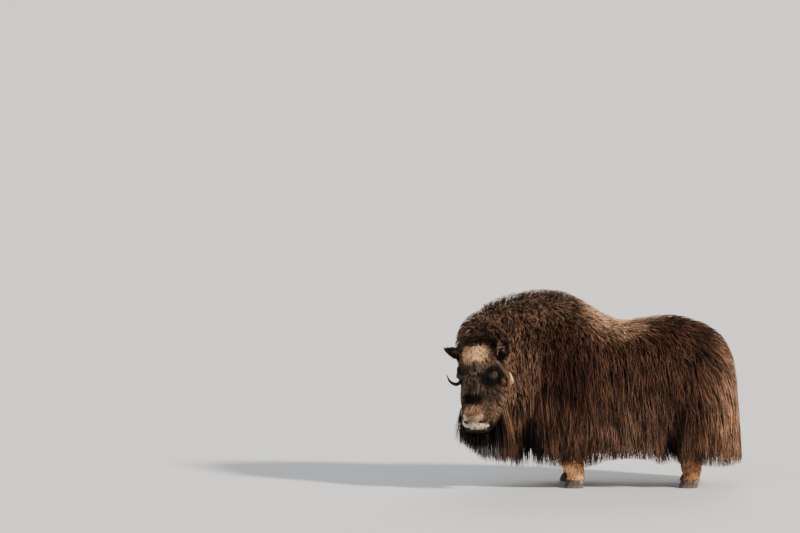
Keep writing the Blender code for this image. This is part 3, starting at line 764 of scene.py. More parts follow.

# %% [markdown]
# So that the coat's colours can be baked tuft by tuft, every tuft needs a small patch of its own on a map.
# The map is an unwrap of the skin's own shape: charts of faces that point roughly the same way.

# %% Unwrap the skin
select_only(skin)
bpy.ops.object.mode_set(mode="EDIT")
bpy.ops.mesh.select_all(action="SELECT")
bpy.ops.uv.smart_project(angle_limit=math.radians(70), island_margin=0.002)
bpy.ops.object.mode_set(mode="OBJECT")
skin.data.uv_layers[0].name = "OFBake"
skin.data.calc_loop_triangles()
triangles = np.empty(len(skin.data.loop_triangles) * 3, dtype=np.int64)
skin.data.loop_triangles.foreach_get("vertices", triangles)
triangles = triangles.reshape(-1, 3)
triangle_loops = np.empty(triangles.size, dtype=np.int64)
skin.data.loop_triangles.foreach_get("loops", triangle_loops)
triangle_loops = triangle_loops.reshape(-1, 3)
skin_map = np.empty(len(skin.data.loops) * 2)
skin.data.uv_layers[0].data.foreach_get("uv", skin_map)
skin_map = skin_map.reshape(-1, 2)
skin_points = points_of(skin.data)
skin_normals = normals_of(skin.data)
print("skin map spans", skin_map.min(0).round(3), skin_map.max(0).round(3))

# %% [markdown]
# Hair differs by place, so the coat is planned as kinds. These short tests say where on the skin each kind
# grows, from places in the body's or the head's frame. Painted masks would do the same, but numbers are
# easier to shift when the shape under them changes.

# %% Where each kind grows
MIDLINE = float(middle_of("trunk").y)
EYE_CLEAR = 0.0235
HOOF_TOP = 0.048
HIDDEN_LEG = (0.235, 0.30)


def on_ears(points):
    """Picks the ears."""
    a, b, c = in_head(points).T
    left = (a > 0.125) & (b < 0.075) & (b > -0.10) & (c > -0.03) & (a + 0.55 * (0.05 - b) > 0.135)
    right = (a < -0.130) & (b < 0.065) & (b > -0.06) & (c > -0.05)
    return (left | right) & (a < 0.30)


def on_legs(points):
    """Picks the lower legs."""
    return points[:, 2] < HIDDEN_LEG[1]


def bare(points):
    """Picks what grows no locks: the eyes, the hooves' rims, and the legs hidden by the skirt."""
    near_eye = np.zeros(len(points), dtype=bool)
    for eye in EYES.values():
        near_eye |= np.linalg.norm(points - np.array(eye), axis=1) < EYE_CLEAR
    z = points[:, 2]
    return near_eye | (z < HOOF_TOP) | ((z > HIDDEN_LEG[0]) & (z < HIDDEN_LEG[1]))


def on_face(points):
    """Picks the short-haired face."""
    return (face_share(points) > 0.5) & ~on_ears(points)


def on_muzzle(points):
    """Picks the end of the muzzle."""
    a, b, c = in_head(points).T
    return on_face(points) & (b > 0.335) & (c > -0.02) & (np.abs(a) < 0.088)


def on_cream(points):
    """Picks the woolly forehead."""
    a, b, c = in_head(points).T
    return on_face(points) & (b < 0.105) & (c > 0.03)


def on_beard(points):
    """Picks jaw and throat, which carry the beard."""
    a, b, c = in_head(points).T
    jaw = (points[:, 2] < 0.50) & (points[:, 0] < -0.30) & (points[:, 1] < 0.04)
    return jaw & ~on_muzzle(points) & ((c < -0.060) | (b > 0.455))


def on_wool(points):
    """Picks hump, neck and mane, with their shorter crimped wool."""
    x, y, z = points.T
    forward = x < 0.02 - 0.5 * np.abs(y - MIDLINE)
    return forward & (z > 0.62 + 0.25 * ramp(x, -0.45, -0.1)) & ~on_face(points)


def on_saddle(points):
    """Picks the top of the back."""
    x, y, z = points.T
    return (z > 0.80) & (np.abs(y - MIDLINE) < 0.22)


def on_belly(points):
    """Picks the underside."""
    x, y, z = points.T
    return (z < 0.385) & (np.abs(y - MIDLINE) < 0.17)


for test in (on_ears, on_legs, on_muzzle, on_cream, on_beard, on_face, on_belly, on_wool, on_saddle):
    print(test.__name__, "picks", int(test(skin_points).sum()), "points of the skin")

# %% [markdown]
# Each kind has a spacing of its roots, the least and greatest length of its locks, a width, the number of
# rings along a lock, and how far it stands up at the root. It can be crimped, and neighbouring locks draw
# together at their tips. Clumps and single locks differ in tint, and the markings are read partly at the
# root and partly where the hair itself hangs. The first kind in the list that fits a place grows there.

# %% Kinds of hair
class Kind:
    """One kind of hair and where it grows."""

    def __init__(self, name, where, spacing, length, width, rings, lift, crimp=0.0, clump=0.3,
                 clump_size=0.03, spread=0.2, tip=0.006, follows=True, hangs=False, ragged=0.0,
                 thin=2.4, contrast=0.15, patchy=0.30, relief=0.0, painted_along=0.3):
        self.name, self.where = name, where
        self.spacing, self.length, self.width = spacing, length, width
        self.rings, self.lift, self.crimp = rings, lift, crimp
        self.clump, self.clump_size, self.spread = clump, clump_size, spread
        # Depth of the tips under the outline, whether a lock keeps to the outline, whether it hangs
        self.tip, self.follows, self.hangs = tip, follows, hangs
        # How far the border of the kind wanders, how sharply a lock tapers, how far tips differ in depth
        self.ragged, self.thin, self.relief = ragged, thin, relief
        # Differences in tint from lock to lock and from clump to clump, share read where the hair hangs
        self.contrast, self.patchy, self.painted_along = contrast, patchy, painted_along


KINDS = [
    Kind("ears", on_ears, 0.0042, (0.016, 0.030), 0.0034, 4, 0.45, clump=0.2, clump_size=0.012,
         spread=0.5, follows=False, contrast=0.36, patchy=0.25),
    Kind("legs", on_legs, 0.0068, (0.018, 0.030), 0.0036, 3, 0.12, clump=0.15, clump_size=0.014,
         spread=0.14, follows=False, contrast=0.12, patchy=0.08),
    Kind("muzzle", on_muzzle, 0.0038, (0.008, 0.015), 0.0028, 3, 0.34, clump=0.2, clump_size=0.010,
         spread=0.30, tip=0.0, contrast=0.26, patchy=0.16),
    Kind("forehead", on_cream, 0.0048, (0.026, 0.044), 0.0038, 5, 0.34, crimp=0.0018, clump=0.30,
         clump_size=0.012, spread=0.42, tip=-0.005, ragged=0.009, contrast=0.12, patchy=0.08),
    Kind("beard", on_beard, 0.0068, (0.13, 0.34), 0.0046, 6, 0.40, crimp=0.002, clump=0.6,
         clump_size=0.020, spread=0.07, follows=False, hangs=True, thin=1.3, contrast=0.46, patchy=0.22,
         painted_along=0.8),
    Kind("face", on_face, 0.0056, (0.028, 0.054), 0.0038, 4, 0.28, clump=0.40, clump_size=0.013,
         spread=0.38, tip=-0.005, ragged=0.006, contrast=0.40, patchy=0.14, painted_along=0.75),
    Kind("belly", on_belly, 0.018, (0.06, 0.10), 0.0085, 4, 0.30, spread=0.3, follows=False),
    Kind("wool", on_wool, 0.0074, (0.050, 0.080), 0.0040, 5, 0.45, crimp=0.0014, clump=0.26,
         clump_size=0.013, spread=0.24, tip=-0.007, ragged=0.035, contrast=0.32, patchy=0.14,
         relief=0.002),
    Kind("saddle", on_saddle, 0.0080, (0.070, 0.110), 0.0040, 5, 0.30, crimp=0.0012, clump=0.28,
         clump_size=0.015, spread=0.20, tip=-0.004, ragged=0.035, contrast=0.28, patchy=0.12,
         relief=0.002),
    Kind("guard", lambda points: points[:, 2] > 0, 0.0096, (0.26, 0.50), 0.0048, 6, 0.28, crimp=0.0014,
         clump=0.75, clump_size=0.021, spread=0.13, tip=-0.004, hangs=True, ragged=0.035, thin=1.5,
         contrast=0.34, patchy=0.24, relief=0.009, painted_along=0.8),
]
print(len(KINDS), "kinds of hair:", ", ".join(kind.name for kind in KINDS))

# %% [markdown]
# The lie of the coat is a field of directions. On the face hair runs down to the nose and out to the
# cheeks. On the back it runs to the rear, and turns down over the flanks. On mane, beard and skirt it
# simply hangs. Combing by hand would give the same, but a field also answers between the roots.

# %% Lie of the coat
PARTING = 0.06


def unit(vectors):
    """Vectors scaled to a length of 1."""
    return vectors / np.maximum(np.linalg.norm(vectors, axis=1), 1e-9)[:, None]


def lie_of_coat(points, normals):
    """The way hair lies at points with these outward normals."""
    x, y, z = points.T
    rear = 0.10 + 0.30 * ramp(x, 0.40, 0.75) * ramp(z, 0.30, 0.60) + 0.9 * ramp(normals[:, 2], 0.35, 0.85)
    rear = rear - 0.35 * (1 - ramp(x, -0.62, -0.38))
    aside = 0.35 * np.clip((y - MIDLINE) / PARTING, -1, 1) * ramp(normals[:, 2], 0.5, 0.9)
    body = np.stack([rear, aside, -np.ones(len(x))], axis=1)
    a, b, c = in_head(points).T
    spread = 3.2 * a + np.sign(a) * (0.10 + 0.5 * ramp(b, 0.20, 0.34))
    inward = -0.35 * ramp(b, 0.12, 0.3) - 0.4 * ramp(np.abs(a), 0.08, 0.12)
    in_face = np.stack([spread, np.ones(len(b)), inward], axis=1)
    share = (face_share(points) > 0.5)[:, None]
    way = np.where(share, unit(in_face) @ HEAD_AXES, body)
    ear = on_ears(points)
    ear_way = np.stack([np.sign(a), -0.55 * (a > 0), 0.2 * np.ones(len(a))], axis=1) @ HEAD_AXES
    way[ear] = ear_way[ear]
    legs_here = on_legs(points)
    way[legs_here] = np.array([0.05, 0.0, -1.0])
    way -= (way * normals).sum(1)[:, None] * normals
    return unit(way)


flank = np.array([[0.2, -0.27, 0.6]]), np.array([[0.0, -1.0, 0.0]])
print("hair on the left flank runs along", lie_of_coat(*flank).round(2)[0])

# %% [markdown]
# Roots are drawn at random over the skin's triangles, and then thinned on a grid so that no two stand
# too close. Pure chance would leave bald spots beside thick ones.

# %% Roots
DRAWN = 2.2


def grid_key(places):
    """One number for each cell of a grid of size 1 that the places fall in."""
    cells = np.floor(places).astype(np.int64)
    return (cells[:, 0] * 73856093) ^ (cells[:, 1] * 19349663) ^ (cells[:, 2] * 83492791)


def scatter(spacing):
    """Roots over the whole skin, about a spacing apart: places, normals and places on the map."""
    corners = skin_points[triangles]
    sides = corners[:, 1] - corners[:, 0], corners[:, 2] - corners[:, 0]
    area = np.linalg.norm(np.cross(*sides), axis=1) / 2
    wanted = area / spacing**2 * DRAWN
    count = np.floor(wanted + rng.random(len(wanted))).astype(int)
    chosen = np.repeat(np.arange(len(triangles)), count)
    u, v = rng.random(len(chosen)), rng.random(len(chosen))
    over = u + v > 1
    u[over], v[over] = 1 - u[over], 1 - v[over]
    share = np.stack([1 - u - v, u, v], axis=1)[:, :, None]
    place = (corners[chosen] * share).sum(1)
    kept = np.unique(grid_key(place / spacing + 0.5), return_index=True)[1]
    place, share, chosen = place[kept], share[kept], chosen[kept]
    normal = unit((skin_normals[triangles[chosen]] * share).sum(1))
    on_map = (skin_map[triangle_loops[chosen]] * share).sum(1)
    return place, normal, on_map


def roots_by_kind():
    """Roots for each kind, each kind taking what the earlier ones left."""
    made = {}
    for i, kind in enumerate(KINDS):
        place, normal, on_map = scatter(kind.spacing)
        mine = kind.where(place + rng.normal(0, 1, place.shape) * kind.ragged)
        for earlier in KINDS[:i]:
            mine &= ~earlier.where(place + rng.normal(0, 1, place.shape) * earlier.ragged)
        mine &= ~bare(place)
        made[kind.name] = place[mine], normal[mine], on_map[mine]
    return made


roots = roots_by_kind()
print("roots:", {name: len(found[0]) for name, found in roots.items()})

# %% [markdown]
# The skirt ends in an uneven edge over the hooves. The coat is drawn in where it folds: before the thigh,
# at the throat, and between neck and shoulder. At the throat many locks are short, so light comes through.
# The edge is a line along the body, and each fold a hollow with a middle, two reaches and a depth.

# %% Edge and folds of the coat
SKIRT_EDGE = np.array([
    # place along the body, height of the lowest tips
    (-0.74, 0.245), (-0.66, 0.190), (-0.59, 0.146), (-0.45, 0.112), (-0.40, 0.108), (-0.25, 0.098),
    (-0.05, 0.092), (0.05, 0.128), (0.16, 0.140), (0.28, 0.140), (0.40, 0.105), (0.60, 0.106),
    (0.75, 0.098), (0.846, 0.098),
])
HOLLOWS = [
    # place along the body, height, reaches of both, depth
    (0.478, 0.40, 0.055, 0.14, 0.060), (0.440, 0.22, 0.065, 0.16, 0.080),
    (-0.358, 0.24, 0.078, 0.20, 0.095), (-0.285, 0.62, 0.030, 0.22, 0.022),
]
GAP_PLACE = -0.362
GAP_HALF = 0.055
GAP_TIPS = 0.235
GAP_SHORT_SHARE = 0.72


def hollow_depth(points):
    """How far the coat's surface is drawn in where it folds."""
    total = np.zeros(len(points))
    for x, z, wide, high, deep in HOLLOWS:
        away = np.hypot((points[:, 0] - x) / wide, (points[:, 2] - z) / high)
        total += deep * (1 - ramp(away, 0.2, 1.0))
    return total


def length_share(kind, place):
    """Shortens or lengthens a kind by place, so that one kind passes into the next without a step."""
    a, b, c = in_head(place).T
    if kind.name == "guard":
        return 0.40 + 0.60 * (1 - ramp(place[:, 2], 0.50, 0.92))
    if kind.name == "ears":
        return np.where(a < 0, 0.55, 1.0)
    if kind.name == "face":
        return 1 + 1.1 * ramp(np.abs(a), 0.080, 0.125) * ramp(b, 0.18, 0.32)
    if kind.name in ("wool", "saddle"):
        return 1 + 0.9 * (1 - ramp(place[:, 2], 0.66, 0.90))
    return np.ones(len(place))


print("lowest tips", SKIRT_EDGE[:, 1].min(), "to", SKIRT_EDGE[:, 1].max(), "m over the floor")

# %% [markdown]
# Real hair doesn't hang strand by strand. Neighbouring locks draw together into points, and wool is crimped.
# So some locks are named leaders, one in each cell of a grid, and every other lock follows the nearest one.

# %% Leaders
def find_leaders(kind, place):
    """For each lock, the number of the lock that leads its clump."""
    leaders = np.unique(grid_key(place / kind.clump_size), return_index=True)[1]
    tree = KDTree(len(leaders))
    for i, leader in enumerate(leaders.tolist()):
        tree.insert(place[leader], i)
    tree.balance()
    return np.array([leaders[tree.find(point)[1]] for point in place.tolist()], dtype=np.int64)


led = find_leaders(KINDS[0], roots["ears"][0])
print(len(led), "locks on the ears follow", len(set(led.tolist())), "leaders")

# %% [markdown]
# A lock begins as a spine, a short chain of points. Each step follows the lie of the coat, with a little
# swerve of its own, and is then drawn towards the outline: the root lies deep, and the tip ends near the
# surface. So all the locks together fill the very form that the frame gives, and none stands far out of it.

# %% Spines of the locks
ROOT_SUNK = 0.002
TOO_DEEP = 0.14
DOWN = np.array([0.02, 0.03, -1.0])
STRIDES = 2
SHORTEST = 0.04
RAGGED_EDGE = 0.020
TIP_NOISE = 0.004
LOOSE_FROM = 0.58
LOOSE_AT = 0.86


def grow_spines(kind, place, normal, mine):
    """Spines of one kind of lock, as an array of locks, points and coordinates, and their outward sides."""
    count = len(place)
    length = kind.length[0] + (kind.length[1] - kind.length[0]) * rng.random(count)
    length = length * length_share(kind, place)
    edge = np.interp(place[:, 0], *SKIRT_EDGE.T) + rng.exponential(RAGGED_EDGE, count)
    gap = 1 - ramp(np.abs(place[:, 0] - GAP_PLACE) / GAP_HALF, 0.6, 1.0)
    short = rng.random(count)[mine] < gap * GAP_SHORT_SHARE
    edge = np.where(short, np.maximum(edge, GAP_TIPS + rng.normal(0, RAGGED_EDGE, count)), edge)
    if kind.hangs:
        length = np.minimum(length, np.maximum(place[:, 2] - edge, SHORTEST) * 1.02)
    step = (length / kind.rings / STRIDES)[:, None]
    swerve = rng.normal(0, kind.spread * 0.6, (count, 3))[mine] + rng.normal(0, kind.spread * 0.8, (count, 3))
    relief = kind.relief * (1 - 0.7 * ramp(place[:, 2], LOOSE_FROM, LOOSE_AT) * kind.hangs)
    tip_depth = kind.tip + np.abs(rng.normal(0, TIP_NOISE, count))
    tip_depth = tip_depth + np.abs(rng.normal(0, 1, count))[mine] * relief
    spines = np.empty((count, kind.rings + 1, 3))
    spines[:, 0] = place - normal * ROOT_SUNK
    here = place.copy()
    outward = normal.copy()
    root_depth = nearest_outline(place)[1]
    for stride in range(1, kind.rings * STRIDES + 1):
        t = stride / kind.rings / STRIDES
        way = DOWN if kind.name == "beard" else lie_of_coat(here, outward)
        way = way + swerve + outward * kind.lift * (1 - t)
        here = here + unit(way) * step
        if kind.follows:
            outward, depth = nearest_outline(here)
            eased = math.sin(t * math.pi / 2)
            wanted = root_depth * (1 - eased) + (tip_depth + hollow_depth(here)) * eased
            free = (outward[:, 2] > -0.5) & (np.abs(depth) < TOO_DEEP)
            push = np.where(free, depth - wanted, np.minimum(depth - ROOT_SUNK, 0))
            here = here + outward * push[:, None]
        if kind.hangs:
            here[:, 2] = np.maximum(here[:, 2], edge - 0.01)
        spines[:, stride // STRIDES] = here
    return spines, outward


print("a spine of the skirt takes", KINDS[-1].rings * STRIDES, "steps")

# %% [markdown]
# As they near their tips the spines bend towards their leaders, less so high on the body, where the coat is
# even. A wave runs along the wool, in step within each clump. The pull and the wave are what turn separate
# locks into a coat, and they cost no faces.

# %% Clump and crimp
CRIMP_WAVE = 0.040
CRIMP_START = 0.02
MOST_DRAWN = 0.92


def draw_together(kind, spines, mine):
    """Bends the spines towards their leaders."""
    t = np.linspace(0, 1, spines.shape[1])[None, :, None]
    loose = 1 - 0.65 * ramp(spines[:, 0, 2], LOOSE_FROM, LOOSE_AT) * kind.hangs
    share = kind.clump * (loose * (0.7 + 0.6 * rng.random(len(mine))))[:, None, None] * t**1.4
    return spines + (spines[mine] - spines) * np.clip(share, 0, MOST_DRAWN)


def crimp(kind, spines, outward, mine):
    """Adds the waves of the wool."""
    if not kind.crimp:
        return spines
    run = unit((spines[:, -1] - spines[:, 0]))
    across = unit(np.cross(run, outward))
    arc = np.linalg.norm(np.diff(spines, axis=1, prepend=spines[:, :1]), axis=2).cumsum(1)
    start = np.minimum(arc / CRIMP_START, 1)
    phase = rng.random(len(spines))[mine] * 2 * math.pi + rng.normal(0, 0.5, len(spines))
    wave = np.sin(arc / CRIMP_WAVE * 2 * math.pi + phase[:, None]) * kind.crimp * start
    second = np.cos(arc / CRIMP_WAVE * 2 * math.pi * 0.8 + phase[:, None]) * kind.crimp * 0.6 * start
    return spines + wave[:, :, None] * across[:, None] + second[:, :, None] * outward[:, None]


print("the wool is crimped every", round(CRIMP_WAVE * 1000), "mm")

# %% [markdown]
# Each spine gets a skin of its own: a closed, flat, three-sided spindle with its ridge outwards.
# Three sides are enough, because thousands of them overlap. The locks of a kind have the same faces and
# differ only in their points, so the faces are listed once and repeated.

# %% Shape of a lock
RIDGE = 0.50
FLAT_BACK = 0.22
ROLL = 0.35


def lock_template(rings):
    """Faces of one lock as corner numbers, their sizes, and the place of each corner on the lock's patch."""
    corners, sizes, patch = [], [], []
    for k in range(rings - 1):
        for j in range(3):
            low, high = k * 3, k * 3 + 3
            corners += [low + j, low + (j + 1) % 3, high + (j + 1) % 3, high + j]
            sizes.append(4)
            patch += [(j / 3, k / rings), ((j + 1) / 3, k / rings)]
            patch += [((j + 1) / 3, (k + 1) / rings), (j / 3, (k + 1) / rings)]
    last = (rings - 1) * 3
    for j in range(3):
        corners += [last + j, last + (j + 1) % 3, rings * 3]
        sizes.append(3)
        patch += [(j / 3, (rings - 1) / rings), ((j + 1) / 3, (rings - 1) / rings), ((j + 0.5) / 3, 1)]
    corners += [0, 2, 1]
    sizes.append(3)
    patch += [(0, 0), (1, 0), (0.5, 0.1)]
    return np.array(corners), np.array(sizes), np.array(patch)


def lock_points(spines, outward, width, thin):
    """The corner points of all locks, with how far along and across each lies."""
    count, along_count, _ = spines.shape
    rings = along_count - 1
    run = np.gradient(spines, axis=1)
    run /= np.maximum(np.linalg.norm(run, axis=2), 1e-9)[:, :, None]
    roll = rng.normal(0, ROLL, count)[:, None, None]
    out = outward[:, None] - (outward[:, None] * run).sum(2)[:, :, None] * run
    out /= np.maximum(np.linalg.norm(out, axis=2), 1e-9)[:, :, None]
    side = np.cross(run, out)
    out, side = out * np.cos(roll) + side * np.sin(roll), side * np.cos(roll) - out * np.sin(roll)
    t = np.linspace(0, 1, along_count)[:rings]
    shape = (1 - t**thin) * (0.62 + 0.38 * np.minimum(t / 0.3, 1))
    half = (width[:, None] * shape[None] / 2)[:, :, None]
    body, side, out = spines[:, :rings], side[:, :rings], out[:, :rings]
    sides = [
        body - side * half - out * half * FLAT_BACK,
        body + out * half * RIDGE,
        body + side * half - out * half * FLAT_BACK,
    ]
    rows = np.stack(sides, axis=2).reshape(count, rings * 3, 3)
    points = np.concatenate([rows, spines[:, -1:]], axis=1)
    along = np.append(np.repeat(t, 3), 1.0)
    across = np.append(np.tile([0.0, 0.5, 1.0], rings), 0.5)
    return points, along, across


print("a lock of six rings has", int((lock_template(6)[1] - 2).sum()), "triangles")

# %% [markdown]
# All the locks of a piece are written into one mesh at once. Every lock remembers where its markings are
# read, its tint, and how far along and across it a point lies. It also has its own small patch on the map,
# at its root's place on the unwrapped skin. Copies joined with an operator would take many times as long.

# %% Mesh of a piece of coat
PATCH = 0.003
MAP_MARGIN = 0.02


def lock_piece(name, spines, outward, width, thin, tint, place, on_map):
    """One mesh of closed locks. The markings are read at the given places, one for each ring of each lock."""
    rings = spines.shape[1] - 1
    count = len(spines)
    points, along, across = lock_points(spines, outward, width, thin)
    corners, sizes, patch = lock_template(rings)
    per_lock = rings * 3 + 1
    loops = (corners[None] + np.arange(count)[:, None] * per_lock).ravel()
    firsts = np.concatenate([[0], np.cumsum(sizes)[:-1]])
    starts = (firsts[None] + np.arange(count)[:, None] * len(corners)).ravel()
    mesh = bpy.data.meshes.new(name)
    mesh.vertices.add(count * per_lock)
    mesh.vertices.foreach_set("co", points.astype(np.float32).ravel())
    mesh.loops.add(len(loops))
    mesh.loops.foreach_set("vertex_index", loops.astype(np.int32))
    mesh.polygons.add(len(starts))
    mesh.polygons.foreach_set("loop_start", starts.astype(np.int32))
    mesh.update(calc_edges=True)
    mesh.polygons.foreach_set("use_smooth", np.ones(len(starts), dtype=bool))
    low, high = on_map.min(0), on_map.max(0)
    spot = MAP_MARGIN + (1 - 2 * MAP_MARGIN) * (on_map - low) / np.maximum(high - low, 1e-6)
    places = spot[:, None] + (patch[None] - 0.5) * PATCH
    mesh.uv_layers.new(name="OFBake").data.foreach_set("uv", places.astype(np.float32).ravel())
    root = mesh.attributes.new("place", "FLOAT_VECTOR", "POINT")
    ring_of = np.append(np.repeat(np.arange(rings), 3), rings)
    root.data.foreach_set("vector", place[:, ring_of].astype(np.float32).ravel())
    strand = np.stack([np.repeat(tint, per_lock), np.tile(along, count), np.tile(across, count)], axis=1)
    kept = mesh.attributes.new("strand", "FLOAT_VECTOR", "POINT")
    kept.data.foreach_set("vector", strand.astype(np.float32).ravel())
    piece = bpy.data.objects.new(name, mesh)
    bpy.context.scene.collection.objects.link(piece)
    return piece


print("each lock has a patch", PATCH, "wide on the map")

# %% [markdown]
# Hair has no flat colour. It is painted darker at the root, as shade where light hardly reaches, and tan
# towards the tip, partly bleached and partly a painted highlight of the sunlit tips, though black hair hardly
# bleaches. It differs from lock to lock and from clump to clump, and fine strands run along each lock.
# All of this multiplies or covers the colour of the markings.

# %% Hair finish
TAN = (0.50, 0.36, 0.24)
hair_finish, tree, shader = new_material("hair")
root_place = put(tree, "ShaderNodeAttribute", attribute_name="place")
strand = put(tree, "ShaderNodeAttribute", attribute_name="strand").outputs["Vector"]
strand = put(tree, "ShaderNodeSeparateXYZ", {0: strand})
tint, along, across = strand.outputs
group = put(tree, "ShaderNodeGroup", {"Place": root_place.outputs["Vector"]}, node_tree=markings)
fibre_place = put(tree, "ShaderNodeCombineXYZ", {
    0: math_node(tree, "MULTIPLY", across, 5.0), 1: along, 2: math_node(tree, "MULTIPLY", tint, 90.0)})
fibres = put(tree, "ShaderNodeTexNoise", {
    "Vector": fibre_place.outputs[0], "Scale": 3.0, "Detail": 3.0}).outputs["Fac"]
patches = put(tree, "ShaderNodeTexNoise", {
    "Vector": root_place.outputs["Vector"], "Scale": 11.0, "Detail": 2.0}).outputs["Fac"]
bright = smooth_range(tree, tint, 0.0, 1.0, 0.05, 2.15)
for cause, low, high, darkest, brightest in (
    (patches, 0.35, 0.65, 0.64, 1.28), (along, 0.0, 0.75, 0.50, 1.15), (fibres, 0.3, 0.7, 0.72, 1.25),
):
    bright = math_node(tree, "MULTIPLY", bright, smooth_range(tree, cause, low, high, darkest, brightest))
grey = put(tree, "ShaderNodeCombineColor", {0: bright, 1: bright, 2: bright})
hair_colour = mix_colour(tree, 1.0, group.outputs["Colour"], grey.outputs[0], "MULTIPLY")
# Bright locks turn tan towards the tip: partly bleaching, partly a painted highlight of the sunlit tips.
bleach_and_highlight = math_node(tree, "MULTIPLY", smooth_range(tree, along, 0.45, 1.0, 0.0, 1.0),
                     smooth_range(tree, tint, 0.50, 1.0, 0.02, 0.34))
painted = put(tree, "ShaderNodeRGBToBW", {0: group.outputs["Colour"]}).outputs[0]
bleach_and_highlight = math_node(tree, "MULTIPLY", bleach_and_highlight, smooth_range(tree, painted, 0.003, 0.022, 0.10, 1.0))
pale_hair = mix_colour(tree, 0.55, (*TAN, 1), group.outputs["Colour"])
hair_colour = mix_colour(tree, bleach_and_highlight, hair_colour, pale_hair)
bump = put(tree, "ShaderNodeBump", {"Height": fibres, "Strength": 0.4, "Distance": 0.0010})
tree.links.new(hair_colour, shader.inputs["Base Color"])
tree.links.new(bump.outputs[0], shader.inputs["Normal"])
tree.links.new(smooth_range(tree, fibres, 0.3, 0.7, 0.50, 0.70), shader.inputs["Roughness"])
shader.inputs["Specular IOR Level"].default_value = 0.12
print("hair finish has", len(tree.nodes), "nodes")

# %% [markdown]
# Now the coat is grown, kind by kind. A kind with more locks than one piece may hold is divided along the
# body. Short hair takes its marking mostly from its root, and hanging hair mostly from where it hangs.

# %% Grow the coat
MOST_TRIANGLES = 190_000


def grow_coat():
    """Grows every kind of hair and gives back all pieces."""
    pieces = []
    for kind in KINDS:
        place, normal, on_map = roots[kind.name]
        order = np.argsort(place[:, 0])
        place, normal, on_map = place[order], normal[order], on_map[order]
        mine = find_leaders(kind, place)
        spines, outward = grow_spines(kind, place, normal, mine)
        spines = draw_together(kind, spines, mine)
        spines = crimp(kind, spines, outward, mine)
        tint = 0.5 + rng.normal(0, kind.patchy, len(place))[mine] + rng.normal(0, kind.contrast, len(place))
        tint = np.clip(tint, 0, 1)
        marked = np.repeat(place[:, None], kind.rings + 1, axis=1)
        marked = marked + (spines - marked) * kind.painted_along
        width = kind.width * (0.75 + 0.5 * rng.random(len(place)))
        per_lock = 6 * (kind.rings - 1) + 4
        parts = max(1, math.ceil(len(place) * per_lock / MOST_TRIANGLES))
        for number, chosen in enumerate(np.array_split(np.arange(len(place)), parts), 1):
            piece = lock_piece(f"coat_{kind.name}_{number}", spines[chosen], outward[chosen], width[chosen],
                               kind.thin, tint[chosen], marked[chosen], on_map[chosen])
            piece.data.materials.append(hair_finish)
            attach(piece, "root")
            pieces.append(piece)
        print(kind.name, len(place), "locks,", len(place) * per_lock, "triangles in", parts, "pieces")
    return pieces


coat = grow_coat()
print("coat has", sum(triangles_in(piece) for piece in coat), "triangles in", len(coat), "pieces")

# %% [markdown]
# An eye is a ball with a clear front that bulges a little. The iris is dark brown, the pupil is a level bar,
# and the white hardly shows. The wet shine comes from a clear coat over the painted ball.

# %% Eyes
PUPIL_BLACK = (0.002, 0.002, 0.002)
PUPIL_BAR = (1.7, 3.6, 1.0)
BALL_RADIUS = 0.0186
IRIS_REACH = 0.0134
CORNEA_RISE = 0.0011
for side, name in ((1, "eye_left"), (-1, "eye_right")):
    turn = eye_turn(side)
    bpy.ops.object.select_all(action="DESELECT")
    bpy.ops.mesh.primitive_uv_sphere_add(segments=48, ring_count=32, radius=BALL_RADIUS, location=(0, 0, 0))
    ball = bpy.context.object
    ball.name = name + "_ball"
    place = points_of(ball.data)
    reach = np.hypot(place[:, 0], place[:, 1])
    place[:, 2] += CORNEA_RISE * (1 - ramp(reach, 0.0, IRIS_REACH)) * (place[:, 2] > 0)
    set_points(ball.data, place @ np.array(turn) + np.array(EYES[side]))
    bpy.ops.object.shade_smooth()
    eye_finish, tree, shader = new_material(name + "_finish")
    spot = put(tree, "ShaderNodeMapping", {
        "Vector": put(tree, "ShaderNodeTexCoord").outputs["Object"], "Location": EYES[side],
        "Rotation": turn.transposed().to_euler(), "Scale": (IRIS_REACH, IRIS_REACH, 10.0),
    }, vector_type="TEXTURE").outputs[0]
    radius = put(tree, "ShaderNodeVectorMath", {0: spot}, operation="LENGTH").outputs["Value"]
    bar = put(tree, "ShaderNodeVectorMath", {0: spot, 1: PUPIL_BAR}, operation="MULTIPLY").outputs[0]
    bar = put(tree, "ShaderNodeVectorMath", {0: bar}, operation="LENGTH").outputs["Value"]
    rays = put(tree, "ShaderNodeTexNoise", {"Vector": spot, "Scale": 7.0, "Detail": 4.0})
    iris = mix_colour(tree, rays.outputs["Fac"], (0.016, 0.008, 0.004, 1), (0.075, 0.034, 0.014, 1))
    iris = mix_colour(tree, smooth_range(tree, bar, 0.85, 1.05, 1.0, 0.0), iris, (*PUPIL_BLACK, 1))
    white = mix_colour(tree, rays.outputs["Fac"], (0.070, 0.042, 0.034, 1), (0.160, 0.108, 0.090, 1))
    eye_colour = mix_colour(tree, smooth_range(tree, radius, 0.92, 1.06), iris, white)
    tree.links.new(eye_colour, shader.inputs["Base Color"])
    tree.links.new(smooth_range(tree, rays.outputs["Fac"], 0.3, 0.7, 0.22, 0.34), shader.inputs["Roughness"])
    shader.inputs["Specular IOR Level"].default_value = 0.03
    shader.inputs["Coat Weight"].default_value = 0.50
    shader.inputs["Coat Roughness"].default_value = 0.05
    ball.data.materials.append(eye_finish)
    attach(ball, "root")
    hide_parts(name)
print("eyes at", [[round(v, 3) for v in eye] for eye in EYES.values()])

# %% [markdown]
# A horn leaves the brow, drops close along the cheek and hooks up to its point. It is a curve with a radius
# at every point, turned into a mesh, so its taper is smooth. The radius swells and shrinks a little along
# the thick part, which gives the growth rings. A skin modifier on a line of edges would do too, but rounder
# and with less say over the taper.

